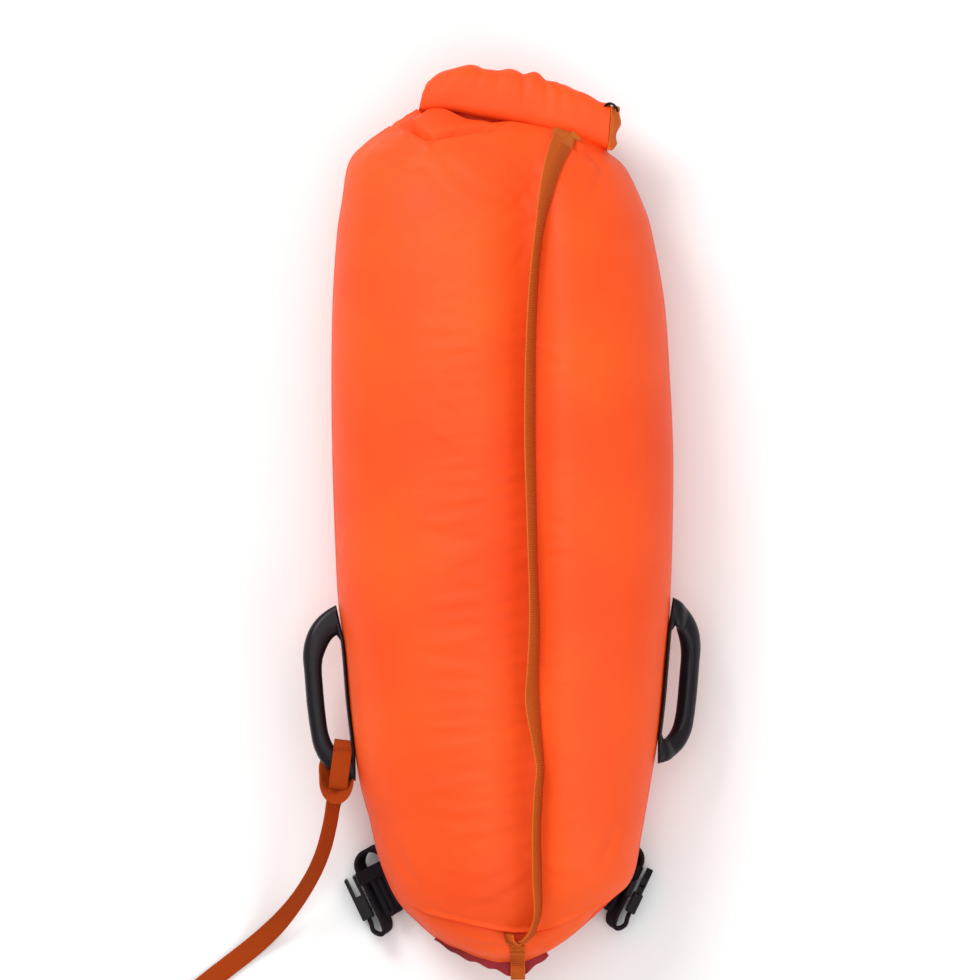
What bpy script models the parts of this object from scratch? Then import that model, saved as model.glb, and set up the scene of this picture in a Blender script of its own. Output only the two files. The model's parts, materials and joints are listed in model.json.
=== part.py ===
"""Open water swim buoy: an inflatable dry bag with two air chambers, a rolled mouth, side handles and webbing.

The buoy lies on its back. +X is the right of its front, +Y runs towards the rolled mouth, +Z is up through
the front panel. The origin is on the floor, under the middle of the whole buoy without its leash.
"""

import math

import bmesh
import bpy
from mathutils import Matrix, Vector
from mathutils.bvhtree import BVHTree

# Clearances
GAP = 0.0003
SLACK = 0.0005
OVERRUN = 0.002

# Bag
BAG_LENGTH = 0.700
BAG_BOTTOM_Y = -0.372
BAG_HALF_WIDTH = 0.1428
FRONT_DEPTH = 0.092
BACK_DEPTH = 0.077
SEAM_Z = 0.070
NECK_LIFT = 0.010
PANEL_WALL = 0.0009
VALLEY_X = 0.024
VALLEY_DEPTH = 0.016
VALLEY_LEFT_REACH = 0.026
VALLEY_RIGHT_REACH = 0.019
CROWN_POWER = 2.4
PANEL_ROWS = 38
NECK_LIFT_START_SHARE = 0.86

# Where the panels' columns stand, closest together along the valley and at the seams.
COLUMN_SHARES = (
    -1, -0.982, -0.945, -0.885, -0.80, -0.69, -0.56, -0.42, -0.28, -0.16, -0.07, 0.0, 0.06,
    0.11, 0.155, 0.20, 0.255, 0.32, 0.41, 0.53, 0.66, 0.78, 0.87, 0.935, 0.978, 1,
)

# Stations from the bottom edge to the neck, each as
# (left y, left x, right y, right x, front depth, back depth): y in shares of BAG_LENGTH from the bottom edge,
# x in shares of BAG_HALF_WIDTH, depths in shares of FRONT_DEPTH and BACK_DEPTH.
STATION_SHARES = (
    (0.0012, -0.030, 0.0012, 0.125, 0.0, 0.0),
    (0.0057, -0.119, 0.0128, 0.245, 0.17, 0.15),
    (0.0157, -0.238, 0.0230, 0.330, 0.27, 0.24),
    (0.0300, -0.378, 0.0457, 0.476, 0.38, 0.34),
    (0.0579, -0.536, 0.0714, 0.616, 0.52, 0.46),
    (0.0857, -0.637, 0.0914, 0.721, 0.62, 0.56),
    (0.1286, -0.721, 0.1129, 0.777, 0.70, 0.64),
    (0.1757, -0.777, 0.1557, 0.816, 0.78, 0.72),
    (0.2200, -0.833, 0.1957, 0.851, 0.84, 0.79),
    (0.3029, -0.889, 0.2886, 0.924, 0.91, 0.88),
    (0.3786, -0.921, 0.3743, 0.963, 0.95, 0.94),
    (0.4371, -0.959, 0.4371, 0.984, 0.975, 0.97),
    (0.5243, -0.980, 0.5243, 0.998, 0.99, 0.99),
    (0.6171, -0.994, 0.6171, 1.001, 1.00, 1.00),
    (0.7100, -0.998, 0.7100, 0.980, 1.00, 1.00),
    (0.7957, -0.991, 0.7957, 0.949, 0.98, 0.97),
    (0.8743, -0.966, 0.8786, 0.875, 0.92, 0.90),
    (0.9129, -0.938, 0.9114, 0.823, 0.86, 0.83),
    (0.9600, -0.898, 0.9460, 0.746, 0.72, 0.68),
    (0.9829, -0.805, 0.9600, 0.697, 0.56, 0.50),
    (1.0014, -0.679, 0.9670, 0.658, 0.36, 0.33),
    (1.0157, -0.567, 0.9715, 0.630, 0.17, 0.15),
    (1.0250, -0.504, 0.9750, 0.609, 0.024, 0.024),
)
# How deep the front's valley is along the same stations, in shares of VALLEY_DEPTH.
VALLEY_SHARES = (
    0.0, 0.15, 0.3, 0.45, 0.6, 0.75, 0.85, 0.95, 1.0, 1.0, 1.0, 1.0,
    1.0, 1.0, 1.0, 1.0, 0.9, 0.75, 0.5, 0.3, 0.12, 0.04, 0.0,
)

# Walls between the air chambers and the dry compartment
CHAMBER_WALL = 0.0008
LEFT_WALL_X = -0.056
RIGHT_WALL_X = 0.070
WALL_BULGE = 0.010
WALL_START_SHARE = 0.10
WALL_END_SHARE = 0.90
WALL_COLUMNS = 6

# Rolled mouth
ROLL_HALF_LENGTH = 0.0785
ROLL_SHIFT = 0.0015
ROLL_HALF_WIDTH = 0.0210
ROLL_HALF_HEIGHT = 0.0132
ROLL_LAYER = 0.0024
ROLL_PITCH = 0.0039
ROLL_TURNS = 2.25
ROLL_STEPS = 20
ROLL_TAIL = 0.0225
# Sections from the roll's left end to its right end, as (place along it, width, height), in shares.
ROLL_SECTION_SHARES = (
    (-1.0, 0.48, 0.70),
    (-0.95, 0.66, 0.82),
    (-0.87, 0.82, 0.92),
    (-0.78, 0.94, 0.97),
    (-0.62, 1.05, 1.0),
    (-0.30, 1.16, 1.0),
    (0.02, 1.10, 1.0),
    (0.10, 1.03, 1.0),
    (0.22, 1.05, 1.0),
    (0.60, 0.97, 1.0),
    (1.0, 1.0, 1.0),
)
STIFFENER_WIDTH = 0.0105
STIFFENER_THICKNESS = 0.0012
STIFFENER_START_SHARE = -0.55
STIFFENER_END_SHARE = 0.97

# Webbing. A line steeper than this has no level direction of its own.
STEEP_SHARE = 0.05
WEBBING_WIDTH = 0.020
WEBBING_THICKNESS = 0.0016
TAB_WIDTH = 0.032
TAB_END_WIDTH = 0.020

# Front strap, as (x, y, tilt of its width from flat in degrees): x in shares of BAG_HALF_WIDTH, y in shares of
# BAG_LENGTH from the bottom edge.
STRAP_ROUTE_SHARES = (
    (0.3291, 0.97714, 6), (0.3081, 0.96286, 10), (0.2801, 0.94143, 24), (0.2486, 0.91571, 48),
    (0.2206, 0.88429, 68), (0.1926, 0.83857, 72), (0.1751, 0.78857, 68), (0.1646, 0.73143, 64),
    (0.1611, 0.67429, 62), (0.1611, 0.61857, 62), (0.1681, 0.56000, 64), (0.1751, 0.50286, 66),
    (0.1835, 0.44571, 66), (0.1877, 0.40286, 62), (0.1786, 0.35286, 48), (0.1751, 0.31714, 34),
    (0.1996, 0.27429, 58), (0.2206, 0.23857, 66), (0.2101, 0.21000, 68), (0.1996, 0.16000, 68),
    (0.2045, 0.10286, 66), (0.2087, 0.07714, 68), (0.1996, 0.05714, 72), (0.1646, 0.04000, 74),
    (0.1050, 0.03143, 74), (0.0490, 0.03143, 70), (0.0070, 0.03714, 62),
)
STRAP_STEPS = 3

# Webbing loop over the bottom edge
LOOP_X = 0.0130
LOOP_WIDTH = 0.0140
LOOP_REACH = 0.0125
LOOP_FRONT_SHARE = 0.01714
LOOP_BACK_SHARE = 0.03429

# Hem behind the bottom edge, as (place across in shares of BAG_HALF_WIDTH, width in shares of HEM_WIDTH)
HEM_WIDTH = 0.0120
HEM_THICKNESS = 0.0020
HEM_STEPS = 3
HEM_SHARES = (
    (-0.400, 0.20), (-0.330, 0.42), (-0.245, 0.52), (-0.140, 0.60), (-0.021, 0.72), (0.049, 0.76),
    (0.112, 0.74), (0.161, 0.58), (0.224, 0.40), (0.266, 0.10),
)

# Handles
HANDLE_REACH = 0.0360
HANDLE_BASE = 0.0032
HANDLE_HALF_HEIGHT = 0.0078
HANDLE_BASE_HALF_HEIGHT = 0.0120
LEFT_HANDLE_TOP_SHARE = 0.430714
LEFT_HANDLE_LENGTH = 0.1480
RIGHT_HANDLE_TOP_SHARE = 0.440000
RIGHT_HANDLE_LENGTH = 0.1400
RIGHT_HANDLE_DROOP = math.radians(45)
DROOP_START = 0.012
HANDLE_ROUNDNESS = 0.86
HANDLE_SIDES = 12
# The grip's outer and inner lines and its thickness, as (outer out, outer along, inner out, inner along,
# thickness): out in shares of the reach from the bag's edge, along in shares of the handle's length from its
# top, thickness in shares of HANDLE_HALF_HEIGHT.
GRIP_SHARES = (
    (0.07, 0.000, 0.165, 0.172, 0.55),
    (0.30, 0.030, 0.290, 0.196, 0.65),
    (0.56, 0.078, 0.410, 0.236, 0.80),
    (0.77, 0.138, 0.520, 0.290, 0.95),
    (0.92, 0.208, 0.575, 0.340, 1.00),
    (1.00, 0.290, 0.590, 0.392, 1.00),
    (1.00, 0.385, 0.590, 0.450, 1.00),
    (1.00, 0.485, 0.590, 0.530, 1.00),
    (1.00, 0.605, 0.590, 0.640, 1.00),
    (0.99, 0.712, 0.580, 0.722, 1.00),
    (0.96, 0.808, 0.520, 0.786, 1.00),
    (0.84, 0.888, 0.410, 0.822, 0.90),
    (0.66, 0.940, 0.300, 0.842, 0.72),
    (0.42, 0.976, 0.215, 0.850, 0.60),
    (0.10, 1.000, 0.150, 0.852, 0.55),
)
BASE_PLACE_SHARES = (0.822, 0.75, 0.66, 0.55, 0.44, 0.34, 0.26, 0.202)

# Side-release buckle
BUCKLE_WIDTH = 0.0280
BUCKLE_HEIGHT = 0.0104
SOCKET_LENGTH = 0.0380
SOCKET_WALL = 0.0020
SOCKET_CAVITY = 0.0260
SOCKET_WINDOW = 0.0180
BAR_DEPTH = 0.0040
SLOT_LENGTH = 0.0038
PLUG_BASE_LENGTH = 0.0180
PLUG_BASE_HEIGHT = 0.0082
TONGUE_LENGTH = 0.0225
TONGUE_WIDTH = 0.0060
TONGUE_HEIGHT = 0.0044
PRONG_LENGTH = 0.0225
PRONG_HEIGHT = 0.0052
BUCKLE_EDGE = 0.0008
# Outline of one prong, as (along in shares of PRONG_LENGTH, out in shares of half the buckle's width).
PRONG_SHARES = (
    (0.014, 0.750), (0.27, 0.775), (0.36, 0.970), (0.62, 0.985), (0.92, 0.610),
    (1.00, 0.535), (0.84, 0.485), (0.53, 0.655), (0.18, 0.570), (0.014, 0.555),
)
PRONG_PIVOT_SHARE = 0.655

# Closure, under the roll
CLOSURE_DROP = 0.0245
CLOSURE_SIDE = 0.0045
CLOSURE_MOUTH = 0.0440
TAB_TURN = 0.0105
LEFT_TAB_TURN = 0.0042
TAB_TAIL_START = 0.0020

# Valves on the back of the shoulders
VALVE_X_SHARE = 0.651261
VALVE_Y_SHARE = 0.888571
VALVE_FLANGE_RADIUS = 0.0160
VALVE_FLANGE_THICKNESS = 0.0014
VALVE_NECK_RADIUS = 0.0085
VALVE_BORE_RADIUS = 0.0064
VALVE_NECK_HEIGHT = 0.0068
VALVE_THROAT_RADIUS = 0.0078
VALVE_THROAT_DEPTH = 0.0060
COLLAR_RADIUS = 0.0114
COLLAR_RIB = 0.0007
COLLAR_RIBS = 18
COLLAR_HEIGHT = 0.0085
COLLAR_TOP = 0.0016
STEM_RADIUS = 0.0018
STEM_CAP_RADIUS = 0.0046
STEM_CAP_HEIGHT = 0.0020
STEM_SEAL_RADIUS = 0.0088
STEM_SEAL_HEIGHT = 0.0012
ROUND_SIDES = 36

# Belt bundles
BELT_THICKNESS = 0.0020
BELT_LOW_Z = 0.0040
# Where each bundle starts, as (inwards from the bag's edge, y in shares of BAG_LENGTH from the bottom edge).
LEFT_BELT_START_SHARES = (0.037179, 0.125714)
RIGHT_BELT_START_SHARES = (0.149819, 0.132857)
BELT_SLANT = math.radians(25.5)
BELT_RUN = 0.0470
BELT_TOP_LOOP = 0.0122
BELT_SPARE_STEP = 0.0055
BELT_SPARE_RUNS = 3
BELT_SPARE_TOP = 0.0090
BELT_SPARE_BOTTOM = 0.0420
BELT_BUCKLE_OUT = 0.0365
BELT_BUCKLE_SHARE = 0.86
BELT_END_LOOP = 0.0100
KEEPER_THICKNESS = 0.0010
KEEPER_WIDTH = 0.0120
KEEPER_START = 0.0010
ANCHOR_START_SHARE = 0.50
ANCHOR_END_SHARE = 0.96
ADJUSTER_LENGTH = 0.0150
ADJUSTER_HEIGHT = 0.0050
ADJUSTER_PLACE = 0.0010
ARC_STEPS = 8

# Leash: hitch round the left handle, free tail, coil and sewn end
HITCH_WIDTH = 0.0130
HITCH_OUT_SHARE = 0.38407
HITCH_ALONG_SHARE = 0.908782
HITCH_HALF_LENGTH_SHARE = 0.138514
HITCH_STEPS = 20
HITCH_SAMPLES = 24
LEASH_WIDTH = 0.0170
# The leash's route from the hitch's lower end, as (x, y, z, tilt of its width from flat in degrees)
LEASH_ROUTE = (
    (-0.0013, -0.0011, 0.0700, 0), (-0.0015, -0.0045, 0.0697, 6), (-0.0036, -0.0135, 0.0672, 22),
    (-0.0088, -0.0305, 0.0612, 36), (-0.0158, -0.0505, 0.0520, 42), (-0.0223, -0.0695, 0.0415, 42),
    (-0.0313, -0.0875, 0.0305, 38), (-0.0428, -0.1035, 0.0205, 30), (-0.0578, -0.1195, 0.0115, 18),
    (-0.0758, -0.1355, 0.0045, 8), (-0.0948, -0.1505, 0.0022, 0), (-0.1128, -0.1645, 0.0020, 0),
    (-0.1278, -0.1775, 0.0036, 12), (-0.1388, -0.1925, 0.0078, 45), (-0.1443, -0.2095, 0.0094, 75),
    (-0.1448, -0.2245, 0.0095, 90),
)
LEASH_STEPS = 3
COIL_RADIUS = 0.0400
COIL_PITCH = 0.0095
COIL_TURNS = 1.45
COIL_STEPS = 24
END_LOOP_LENGTH = 0.0240
END_LOOP_WIDTH = 0.0100


def clear_scene():
    for obj in list(bpy.data.objects):
        bpy.data.objects.remove(obj, do_unlink=True)


def linear(channel):
    return channel / 12.92 if channel <= 0.04045 else ((channel + 0.055) / 1.055) ** 2.4


def material(name, hex_colour, roughness, metallic=0.0):
    """A Principled BSDF with one colour, given as six sRGB hex digits."""
    made = bpy.data.materials.new(name)
    made.use_nodes = True
    shader = made.node_tree.nodes["Principled BSDF"]
    channels = [int(hex_colour[i : i + 2], 16) / 255 for i in (0, 2, 4)]
    shader.inputs["Base Color"].default_value = (*map(linear, channels), 1.0)
    shader.inputs["Roughness"].default_value = roughness
    shader.inputs["Metallic"].default_value = metallic
    return made


def add_object(name, mesh, finish, parent, matrix=None):
    obj = bpy.data.objects.new(name, mesh)
    bpy.context.scene.collection.objects.link(obj)
    if finish:
        mesh.materials.append(finish)
    obj.parent = parent
    if matrix is not None:
        obj.matrix_local = matrix
    return obj


def mesh_of(name, points, faces, smooth=False):
    """A mesh from points and faces, its normals turned outwards."""
    mesh = bpy.data.meshes.new(name)
    mesh.from_pydata([tuple(p) for p in points], [], faces)
    shaped = bmesh.new()
    shaped.from_mesh(mesh)
    bmesh.ops.recalc_face_normals(shaped, faces=shaped.faces)
    if shaped.calc_volume(signed=True) < 0:
        bmesh.ops.reverse_faces(shaped, faces=shaped.faces)
    shaped.to_mesh(mesh)
    shaped.free()
    if smooth:
        mesh.shade_smooth()
        mesh.set_sharp_from_angle(angle=math.radians(40))
    return mesh


def between(table, place):
    """A table's row at a place counted in rows, on a smooth curve through its rows."""
    first = min(int(place), len(table) - 2)
    f = place - first
    rows = [table[min(max(first + k, 0), len(table) - 1)] for k in (-1, 0, 1, 2)]
    return tuple(
        0.5 * (2 * b + (c - a) * f + (2 * a - 5 * b + 4 * c - d) * f**2 + (3 * b - a - 3 * c + d) * f**3)
        for a, b, c, d in zip(*rows)
    )


def smooth_route(route, steps):
    """Points on a smooth curve through a route, with this many steps from one of its points to the next."""
    count = (len(route) - 1) * steps
    return [between(route, i / steps) for i in range(count)] + [tuple(route[-1])]


def station(place):
    """The bag's section at a place counted in stations: (left point, right point, front depth, back depth)."""
    ly, lx, ry, rx, front, back = between(STATION_SHARES, place)
    left = Vector((lx * BAG_HALF_WIDTH, BAG_BOTTOM_Y + ly * BAG_LENGTH))
    right = Vector((rx * BAG_HALF_WIDTH, BAG_BOTTOM_Y + ry * BAG_LENGTH))
    return left, right, front * FRONT_DEPTH, back * BACK_DEPTH


LAST_STATION = len(STATION_SHARES) - 1


def eased(share):
    share = min(max(share, 0.0), 1.0)
    return share * share * (3 - 2 * share)


def seam_z(place):
    start = NECK_LIFT_START_SHARE * LAST_STATION
    return SEAM_Z + NECK_LIFT * eased((place - start) / (LAST_STATION - start))


def crown(u):
    return max(0.0, 1 - abs(u) ** CROWN_POWER) ** 0.5


def bag_point(place, u, front):
    """A point of the bag's outer surface: u runs from -1 at the left seam to 1 at the right."""
    left, right, front_depth, back_depth = station(place)
    flat = left.lerp(right, (u + 1) / 2)
    if not front:
        z = max(0.0, seam_z(place) - back_depth * crown(u))
        return Vector((flat.x, flat.y, z))
    reach = VALLEY_LEFT_REACH if flat.x < VALLEY_X else VALLEY_RIGHT_REACH
    valley = between([(share,) for share in VALLEY_SHARES], place)[0] * VALLEY_DEPTH
    dip = valley * math.exp(-(((flat.x - VALLEY_X) / reach) ** 2))
    edge_fade = min(1.0, 4 * (1 - abs(u)))
    return Vector((flat.x, flat.y, seam_z(place) + front_depth * crown(u) - dip * edge_fade))


def bag_normal(place, u, front):
    """The outward normal of the bag's outer surface."""
    step = 0.02
    a = bag_point(min(place + step, LAST_STATION), u, front) - bag_point(max(place - step, 0), u, front)
    b = bag_point(place, min(u + step, 1), front) - bag_point(place, max(u - step, -1), front)
    normal = b.cross(a).normalized()
    return normal if (normal.z > 0) == front else -normal


def place_at(x, y):
    """Where a point of the plan lies on the bag: (place in stations, u)."""
    low, high = 0.0, float(LAST_STATION)
    for _ in range(40):
        middle = (low + high) / 2
        left, right, _, _ = station(middle)
        share = (x - left.x) / (right.x - left.x)
        if left.y + (right.y - left.y) * share < y:
            low = middle
        else:
            high = middle
    left, right, _, _ = station(low)
    return low, min(max(2 * (x - left.x) / (right.x - left.x) - 1, -1), 1)


def surface_z(x, y, front):
    place, u = place_at(x, y)
    return bag_point(place, u, front).z


def edge_place(y, side):
    """The place in stations where the left (-1) or right (1) edge of the bag reaches a height y."""
    low, high = 0.0, float(LAST_STATION)
    for _ in range(40):
        middle = (low + high) / 2
        if station(middle)[0 if side < 0 else 1].y < y:
            low = middle
        else:
            high = middle
    return low


def edge_point(y, side):
    return station(edge_place(y, side))[0 if side < 0 else 1]


def edge_inward(place, side):
    """The level direction from the bag's edge straight inwards."""
    step = 0.3
    k = 0 if side < 0 else 1
    along = station(min(place + step, LAST_STATION))[k] - station(max(place - step, 0))[k]
    return Vector((-side * along.y, side * along.x, 0)).normalized()


def panel_points(front):
    """The outer and inner points of a panel's shell, row by row from the bottom edge to the neck."""
    outer, inner = [], []
    last = len(COLUMN_SHARES) - 1
    for r in range(PANEL_ROWS + 1):
        place = LAST_STATION * r / PANEL_ROWS
        for c, u in enumerate(COLUMN_SHARES):
            point = bag_point(place, u, front)
            wall = PANEL_WALL * min(1.0, (r + 2) / 5)
            inward = -bag_normal(place, u, front) * wall
            if c in (0, last):
                inward = edge_inward(place, -1 if c == 0 else 1) * wall
            elif r == 0:
                inward = Vector((0, wall, 0))
            inside = point + inward
            rim = seam_z(place) + (GAP / 2 if front else -GAP / 2)
            keep = max if front else min
            point.z = keep(point.z, rim)
            inside.z = keep(inside.z, rim)
            outer.append(point)
            inner.append(inside)
    return outer, inner


def panel_mesh(name, front):
    """One of the bag's two panels: a thin shell whose rim lies on the seam."""
    outer, inner = panel_points(front)
    across = len(COLUMN_SHARES)
    count = len(outer)
    faces = []
    for r in range(PANEL_ROWS):
        for c in range(across - 1):
            a = r * across + c
            quad = (a, a + 1, a + across + 1, a + across)
            faces.append(quad)
            faces.append(tuple(count + i for i in reversed(quad)))
    rim = rim_of(PANEL_ROWS + 1, across)
    for a, b in zip(rim, rim[1:] + rim[:1]):
        faces.append((a, count + a, count + b, b))
    return mesh_of(name, outer + inner, faces, smooth=True)


def rim_of(height, across):
    """The points round the outside of a grid, in order."""
    rim = list(range(across))
    rim += [r * across + across - 1 for r in range(1, height)]
    rim += [(height - 1) * across + c for c in range(across - 2, -1, -1)]
    return rim + [r * across for r in range(height - 2, 0, -1)]


class Surface:
    """Heights of the two panels, as they are modelled."""

    def __init__(self, front, back):
        self.trees = {}
        for name, mesh in (("front", front), ("back", back)):
            points = [v.co.copy() for v in mesh.vertices]
            self.trees[name] = BVHTree.FromPolygons(points, [tuple(p.vertices) for p in mesh.polygons])
        self.reach = 2 * (FRONT_DEPTH + BACK_DEPTH)

    def hit(self, name, x, y, z, way):
        found = self.trees[name].ray_cast(Vector((x, y, z)), Vector((0, 0, way)), self.reach)[0]
        return None if found is None else found.z

    def top(self, x, y):
        return self.hit("front", x, y, self.reach, -1)

    def under(self, x, y):
        return self.hit("back", x, y, -self.reach / 2, 1)

    def ceiling(self, x, y):
        return self.hit("front", x, y, seam_z(place_at(x, y)[0]) - OVERRUN, 1)

    def floor(self, x, y):
        return self.hit("back", x, y, seam_z(place_at(x, y)[0]) + OVERRUN, -1)


def sheet_solid(name, rows, thickness_of):
    """A closed sheet from rows of points, thickened by thickness_of(row, column) on both sides."""
    height, across = len(rows), len(rows[0])
    one = [rows[r][c] + thickness_of(r, c) for r in range(height) for c in range(across)]
    two = [rows[r][c] - thickness_of(r, c) for r in range(height) for c in range(across)]
    count = len(one)
    faces = []
    for r in range(height - 1):
        for c in range(across - 1):
            a = r * across + c
            quad = (a, a + 1, a + across + 1, a + across)
            faces.append(quad)
            faces.append(tuple(count + i for i in reversed(quad)))
    rim = rim_of(height, across)
    for a, b in zip(rim, rim[1:] + rim[:1]):
        faces.append((a, count + a, count + b, b))
    return mesh_of(name, one + two, faces)


def strap_frames(centres, tilts):
    """The directions of a strap's width and thickness at each point of its line."""
    frames = []
    last = len(centres) - 1
    for i in range(last + 1):
        along = (centres[min(i + 1, last)] - centres[max(i - 1, 0)]).normalized()
        level = Vector((along.y, -along.x, 0.0))
        level = level.normalized() if level.length > STEEP_SHARE else Vector((1, 0, 0))
        upright = level.cross(along).normalized()
        if upright.z < 0:
            upright = -upright
        wide = level * math.cos(tilts[i]) + upright * math.sin(tilts[i])
        frames.append((wide, along.cross(wide).normalized()))
    return frames


def ribbon(name, centres, tilts, width, thickness):
    """A flat strap along a line. Each tilt turns its width from level (0) to upright (90 degrees)."""
    points = []
    for centre, (wide, thick) in zip(centres, strap_frames(centres, tilts)):
        for a, b in ((-1, -1), (1, -1), (1, 1), (-1, 1)):
            points.append(centre + wide * width / 2 * a + thick * thickness / 2 * b)
    faces = []
    for i in range(len(centres) - 1):
        for k in range(4):
            m = (k + 1) % 4
            faces.append((4 * i + k, 4 * i + m, 4 * i + 4 + m, 4 * i + 4 + k))
    faces += [(0, 1, 2, 3), tuple(4 * (len(centres) - 1) + k for k in (3, 2, 1, 0))]
    return mesh_of(name, points, faces)


def plan_strip(line, thickness):
    """Both edges of a strip that follows a line in the plan, as one closed outline."""
    left, right = [], []
    for i, point in enumerate(line):
        along = (line[min(i + 1, len(line) - 1)] - line[max(i - 1, 0)]).normalized()
        out = Vector((-along.y, along.x)) * thickness / 2
        left.append(point + out)
        right.append(point - out)
    return left + right[::-1]


def strip_solid(name, line, thickness, low, high):
    """A strip on edge: it follows a line in the plan and stands from low to high."""
    outline = plan_strip(line, thickness)
    count = len(outline)
    points = [Vector((p.x, p.y, z)) for z in (low, high) for p in outline]
    faces = [(i, (i + 1) % count, count + (i + 1) % count, count + i) for i in range(count)]
    half = count // 2
    for base, turned in ((0, True), (count, False)):
        for i in range(half - 1):
            quad = (base + i, base + i + 1, base + count - 2 - i, base + count - 1 - i)
            faces.append(tuple(reversed(quad)) if turned else quad)
    return mesh_of(name, points, faces)


def turned(name, profile, sides=ROUND_SIDES, ribs=0, rib=0.0):
    """A solid of revolution about +Z from a closed profile of (radius, height, ribbed) points."""
    points, faces = [], []
    for s in range(sides):
        angle = 2 * math.pi * s / sides
        cut = rib if ribs and (s * 2 * ribs // sides) % 2 else 0.0
        for radius, height, ribbed in profile:
            r = radius - (cut if ribbed else 0.0)
            points.append(Vector((r * math.cos(angle), r * math.sin(angle), height)))
    count = len(profile)
    for s in range(sides):
        t = (s + 1) % sides
        for k in range(count):
            m = (k + 1) % count
            faces.append((s * count + k, t * count + k, t * count + m, s * count + m))
    return mesh_of(name, points, faces, smooth=True)


def solid_turned(name, profile, sides=ROUND_SIDES):
    """A solid of revolution whose profile starts and ends on the axis."""
    points = [Vector((0, 0, profile[0][1])), Vector((0, 0, profile[-1][1]))]
    rings = profile[1:-1]
    for radius, height in rings:
        for s in range(sides):
            angle = 2 * math.pi * s / sides
            points.append(Vector((radius * math.cos(angle), radius * math.sin(angle), height)))
    faces = []
    for s in range(sides):
        t = (s + 1) % sides
        faces.append((0, 2 + t, 2 + s))
        faces.append((1, 2 + (len(rings) - 1) * sides + s, 2 + (len(rings) - 1) * sides + t))
        for k in range(len(rings) - 1):
            a, b = 2 + k * sides, 2 + (k + 1) * sides
            faces.append((a + s, a + t, b + t, b + s))
    return mesh_of(name, points, faces, smooth=True)


def block_mesh(name, low, high, edge=0.0):
    """A box from its lowest to its highest corner, with its edges rounded off."""
    low, high = Vector(low), Vector(high)
    shaped = bmesh.new()
    bmesh.ops.create_cube(shaped, size=1.0)
    for vert in shaped.verts:
        vert.co = Vector(
            [(low[k] + high[k]) / 2 + vert.co[k] * (high[k] - low[k]) for k in range(3)]
        )
    if edge:
        bmesh.ops.bevel(
            shaped, geom=list(shaped.edges), offset=edge, segments=2, profile=0.5, affect="EDGES"
        )
    mesh = bpy.data.meshes.new(name)
    shaped.to_mesh(mesh)
    shaped.free()
    return mesh


def combined(name, mesh, others, operation):
    """A mesh with other meshes cut from it or joined to it, worked out in its own frame."""
    body = add_object(name, mesh, None, None)
    helpers = []
    for i, other in enumerate(others):
        helper = add_object(f"{name}_helper_{i}", other, None, None)
        helpers.append(helper)
        modifier = body.modifiers.new(f"{operation}_{i}", "BOOLEAN")
        modifier.operation = operation
        modifier.solver = "EXACT"
        modifier.object = helper
    bpy.context.view_layer.update()
    done = bpy.data.meshes.new_from_object(body.evaluated_get(bpy.context.evaluated_depsgraph_get()))
    for obj in [body, *helpers]:
        bpy.data.objects.remove(obj, do_unlink=True)
    done.name = name
    shaped = bmesh.new()
    shaped.from_mesh(done)
    bmesh.ops.dissolve_degenerate(shaped, dist=GAP / 100, edges=list(shaped.edges))
    bmesh.ops.triangulate(shaped, faces=list(shaped.faces))
    shaped.to_mesh(done)
    shaped.free()
    return done


def make_panels(root, fabric, valve_frames):
    front = add_object("front_panel", panel_mesh("front_panel", True), fabric, root)
    back = add_object("back_panel", panel_mesh("back_panel", False), fabric, root)
    surface = Surface(front.data, back.data)
    holes = []
    for i, frame in enumerate(valve_frames):
        radius = VALVE_THROAT_RADIUS + SLACK
        hole = solid_turned(
            f"valve_hole_{i}",
            (
                (0, -VALVE_THROAT_DEPTH),
                (radius, -VALVE_THROAT_DEPTH),
                (radius, VALVE_NECK_HEIGHT),
                (0, VALVE_NECK_HEIGHT),
            ),
        )
        hole.transform(frame)
        holes.append(hole)
    back.data = combined("back_panel", back.data, holes, "DIFFERENCE")
    back.data.materials.clear()
    back.data.materials.append(fabric)
    return surface


def make_chamber_wall(root, surface, name, x, finish):
    """A wall that parts an air chamber from the dry compartment, bulging towards the compartment."""
    towards = math.copysign(WALL_BULGE, -x)
    half = Vector((CHAMBER_WALL / 2, 0, 0))
    rows = []
    for r in range(PANEL_ROWS + 1):
        left, right, _, _ = station(LAST_STATION * r / PANEL_ROWS)
        share = (x - left.x) / (right.x - left.x)
        if not 0 < share < 1:
            continue
        y = left.y + (right.y - left.y) * share
        if not WALL_START_SHARE <= (y - BAG_BOTTOM_Y) / BAG_LENGTH <= WALL_END_SHARE:
            continue
        spots = [x + k * CHAMBER_WALL for k in (-1, 0, 1)]
        low = max(surface.floor(spot, y) for spot in spots) + GAP
        high = min(surface.ceiling(spot, y) for spot in spots) - GAP
        row = []
        for c in range(WALL_COLUMNS + 1):
            up = c / WALL_COLUMNS
            row.append(Vector((x + towards * math.sin(math.pi * up), y, low + (high - low) * up)))
        rows.append(row)
    return add_object(name, sheet_solid(name, rows, lambda r, c: half), finish, root)


NECK_LEFT, NECK_RIGHT = station(LAST_STATION)[:2]
ROLL_ALONG = Vector((*(NECK_RIGHT - NECK_LEFT), 0)).normalized()
ROLL_ACROSS = Vector((-ROLL_ALONG.y, ROLL_ALONG.x, 0.0))
ROLL_TILT = math.atan2(-ROLL_ALONG.y, ROLL_ALONG.x)
ROLL_Z = SEAM_Z + NECK_LIFT + ROLL_HALF_HEIGHT - ROLL_LAYER / 2


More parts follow.
